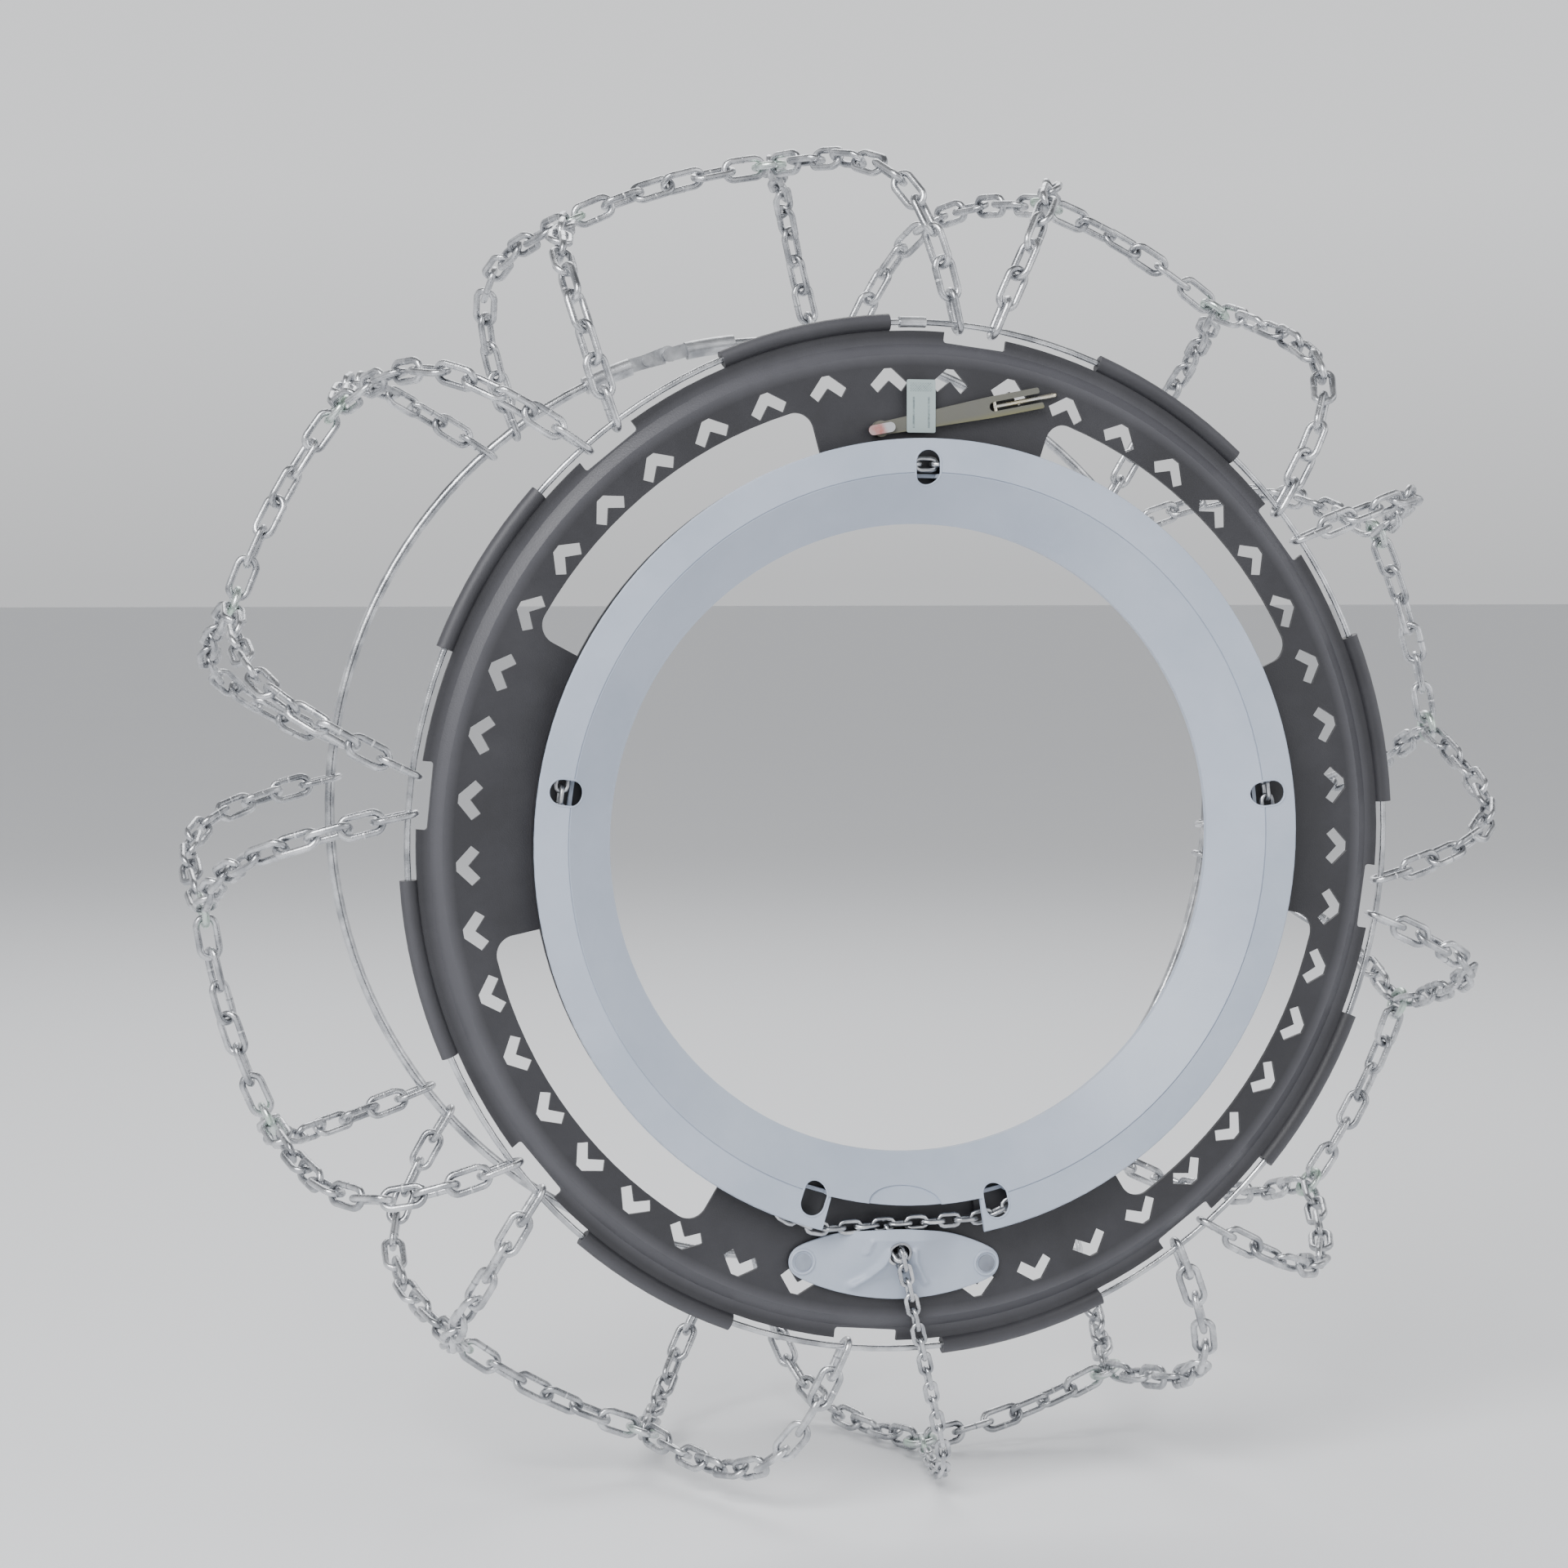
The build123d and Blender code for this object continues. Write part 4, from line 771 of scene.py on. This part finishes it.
class SNOWCHAIN_OT_closure(bpy.types.Operator):
    """Closure strap with its hook, rivet and size tag"""

    bl_idname = "snowchain.closure"
    bl_label = "Closure Strap"

    def execute(self, context):
        finish = context.scene.plastic_finishes
        steel = context.scene.chain_finishes
        strap = Paint("Smoky Strap")
        x, _, z = strap.axes()
        cloud = strap.noise(60, 4)
        grain = strap.noise(1400, 2)
        lower = (z - x * STRAP_SLOPE).step(*STRAP_LOWER_EDGE)
        yellowed = (lower * 0.8 + cloud * 0.35).clipped()
        strap.set(Base_Color=strap.mix(yellowed, finish.strap, finish.strap_edge),
                  Roughness=cloud * 0.15 + grain * 0.06 + 0.24)
        strap.bump(grain + cloud, 0.25, 0.0002)
        wear(["closure_strap"], strap)
        wear(["closure_hook"], plated_steel("Hook Wire", steel.brass, steel.zinc, roughness=0.16))
        wear(["strap_rivet"], plated_steel("Rivet Lacquer", steel.red, steel.zinc, roughness=0.3))
        wear(["size_tag"], self.tag_paint(finish))
        return {"FINISHED"}

    def tag_paint(self, finish):
        """A pale label with a plain printed band and frame, and no lettering."""
        low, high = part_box("size_tag")
        middle = (low + high) / 2
        paint = Paint("Size Tag")
        x, _, z = paint.axes()
        across = (x - middle.x).absolute() / (high.x - low.x) * 2.0
        up = (z - low.z) / (high.z - low.z)
        band = up.band(0.86, 0.10).step(0.0, 0.3) * (1.0 - across.step(0.76, 0.80))
        weave = ((x * 5200.0).wave() * (z * 5200.0).wave()).step(-0.2, 0.4)
        frame_line = (1.0 - across.step(0.58, 0.62)) * across.step(0.44, 0.48)
        frame_line = frame_line * up.band(0.38, 0.30).step(0.0, 0.05)
        fade = paint.noise(900, 3)
        ink = (band * weave * 0.8 + frame_line * 0.8) * fade.step(0.2, 0.6)
        paint.set(Base_Color=paint.mix(ink.clipped(), finish.tag, finish.tag_print),
                  Roughness=fade * 0.15 + 0.34)
        paint.bump(fade, 0.15, 0.0002)
        return paint


# ---- stage -------------------------------------------------------------------------------------------

FLOOR_SIZE = 60.0
CAMERA_PLACE = (-0.5306, -1.6727, 0.116)
CAMERA_AIM = (-0.0323, 0.0, 0.0155)
SENSOR_WIDTH = 36
SKIRTING_TOP = 0.11
CEILING_RISE = (0.30, 0.75)


class SNOWCHAIN_OT_stage(bpy.types.Operator):
    """Pale floor and backdrop, soft lights and the camera"""

    bl_idname = "snowchain.stage"
    bl_label = "Stage"

    def execute(self, context):
        settings = context.scene.stage_settings
        low = Vector(cad_box[0])
        bm = bmesh.new()
        made = bmesh.ops.create_grid(bm, x_segments=1, y_segments=1, size=FLOOR_SIZE)
        bmesh.ops.translate(bm, verts=made["verts"], vec=(0, 0, low.z))
        mesh = bpy.data.meshes.new("floor")
        bm.to_mesh(mesh)
        bm.free()
        paint = Paint("Floor")
        paint.set(Base_Color=tuple(settings.floor), Roughness=paint.noise(3, 2) * 0.1 + 0.55)
        mesh.materials.append(paint.material)
        floor = bpy.data.objects.new("floor", mesh)
        context.scene.collection.objects.link(floor)
        aim = Vector(CAMERA_AIM)
        self.add_light("key", (-1.6, -1.9, 1.9), aim, 1.6, settings.key_power)
        self.add_light("fill", (1.9, -1.5, 0.9), aim, 1.8, settings.fill_power)
        self.add_light("back", (0.4, 1.8, 1.9), aim, 1.6, settings.rim_power)
        context.scene.world = self.studio(settings)
        camera = bpy.data.cameras.new("camera")
        camera.sensor_width = SENSOR_WIDTH
        camera.lens = settings.lens
        viewer = bpy.data.objects.new("camera", camera)
        viewer.location = CAMERA_PLACE
        viewer.rotation_euler = (aim - viewer.location).to_track_quat("-Z", "Y").to_euler()
        context.scene.collection.objects.link(viewer)
        context.scene.camera = viewer
        return {"FINISHED"}

    def studio(self, settings):
        """Bright walls all round, under a darker ceiling."""
        world = bpy.data.worlds.new("Studio")
        world.use_nodes = True
        room = Nodes(world.node_tree, "Generated")
        height = room.axes()[2]
        grey = (height.step(0.0, SKIRTING_TOP) * (settings.wall - settings.skirting) + settings.skirting
                - height.step(*CEILING_RISE) * (settings.wall - settings.ceiling))
        light = world.node_tree.nodes["Background"]
        room.feed(light.inputs["Color"], room.mix(grey, (0.0, 0.0, 0.0), (0.97, 0.98, 1.0)))
        room.feed(light.inputs["Strength"], settings.sky)
        return world

    def add_light(self, name, place, aim, size, power):
        """A soft square light that faces the chain."""
        light = bpy.data.lights.new(name, "AREA")
        light.size = size
        light.energy = power
        lamp = bpy.data.objects.new(name, light)
        lamp.location = place
        lamp.rotation_euler = (aim - Vector(place)).to_track_quat("-Z", "Y").to_euler()
        bpy.context.scene.collection.objects.link(lamp)


# ---- add-on ------------------------------------------------------------------------------------------

OPERATORS = (SNOWCHAIN_OT_stage, SNOWCHAIN_OT_links, SNOWCHAIN_OT_tension_loop, SNOWCHAIN_OT_tread_rings,
             SNOWCHAIN_OT_hoops, SNOWCHAIN_OT_disc, SNOWCHAIN_OT_ring, SNOWCHAIN_OT_lock_cover,
             SNOWCHAIN_OT_lock_steel, SNOWCHAIN_OT_closure)
SETTINGS = {"chain_finishes": ChainFinishes, "plastic_finishes": PlasticFinishes, "lock_cover": LockCover,
            "stage_settings": StageSettings}


class SNOWCHAIN_PT_sidebar(bpy.types.Panel):
    """Lists the chain's pieces and their settings"""

    bl_idname = "SNOWCHAIN_PT_sidebar"
    bl_label = "Snow Chain"
    bl_space_type = "VIEW_3D"
    bl_region_type = "UI"
    bl_category = "Snow Chain"

    def draw(self, context):
        column = self.layout.column()
        for operator in OPERATORS:
            column.operator(operator.bl_idname)
        for name, group in SETTINGS.items():
            box = self.layout.box()
            for key in group.__annotations__:
                box.prop(getattr(context.scene, name), key)


def register():
    """Register the settings, the operators and the panel."""
    for name, group in SETTINGS.items():
        bpy.utils.register_class(group)
        setattr(bpy.types.Scene, name, PointerProperty(type=group))
    for operator in (*OPERATORS, SNOWCHAIN_PT_sidebar):
        bpy.utils.register_class(operator)


def unregister():
    """Take everything out again, in the opposite order."""
    for operator in reversed((*OPERATORS, SNOWCHAIN_PT_sidebar)):
        bpy.utils.unregister_class(operator)
    for name, group in reversed(SETTINGS.items()):
        delattr(bpy.types.Scene, name)
        bpy.utils.unregister_class(group)


def main():
    """Register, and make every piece."""
    register()
    for operator in OPERATORS:
        group, name = operator.bl_idname.split(".")
        getattr(getattr(bpy.ops, group), name)()


if __name__ == "__main__":
    main()
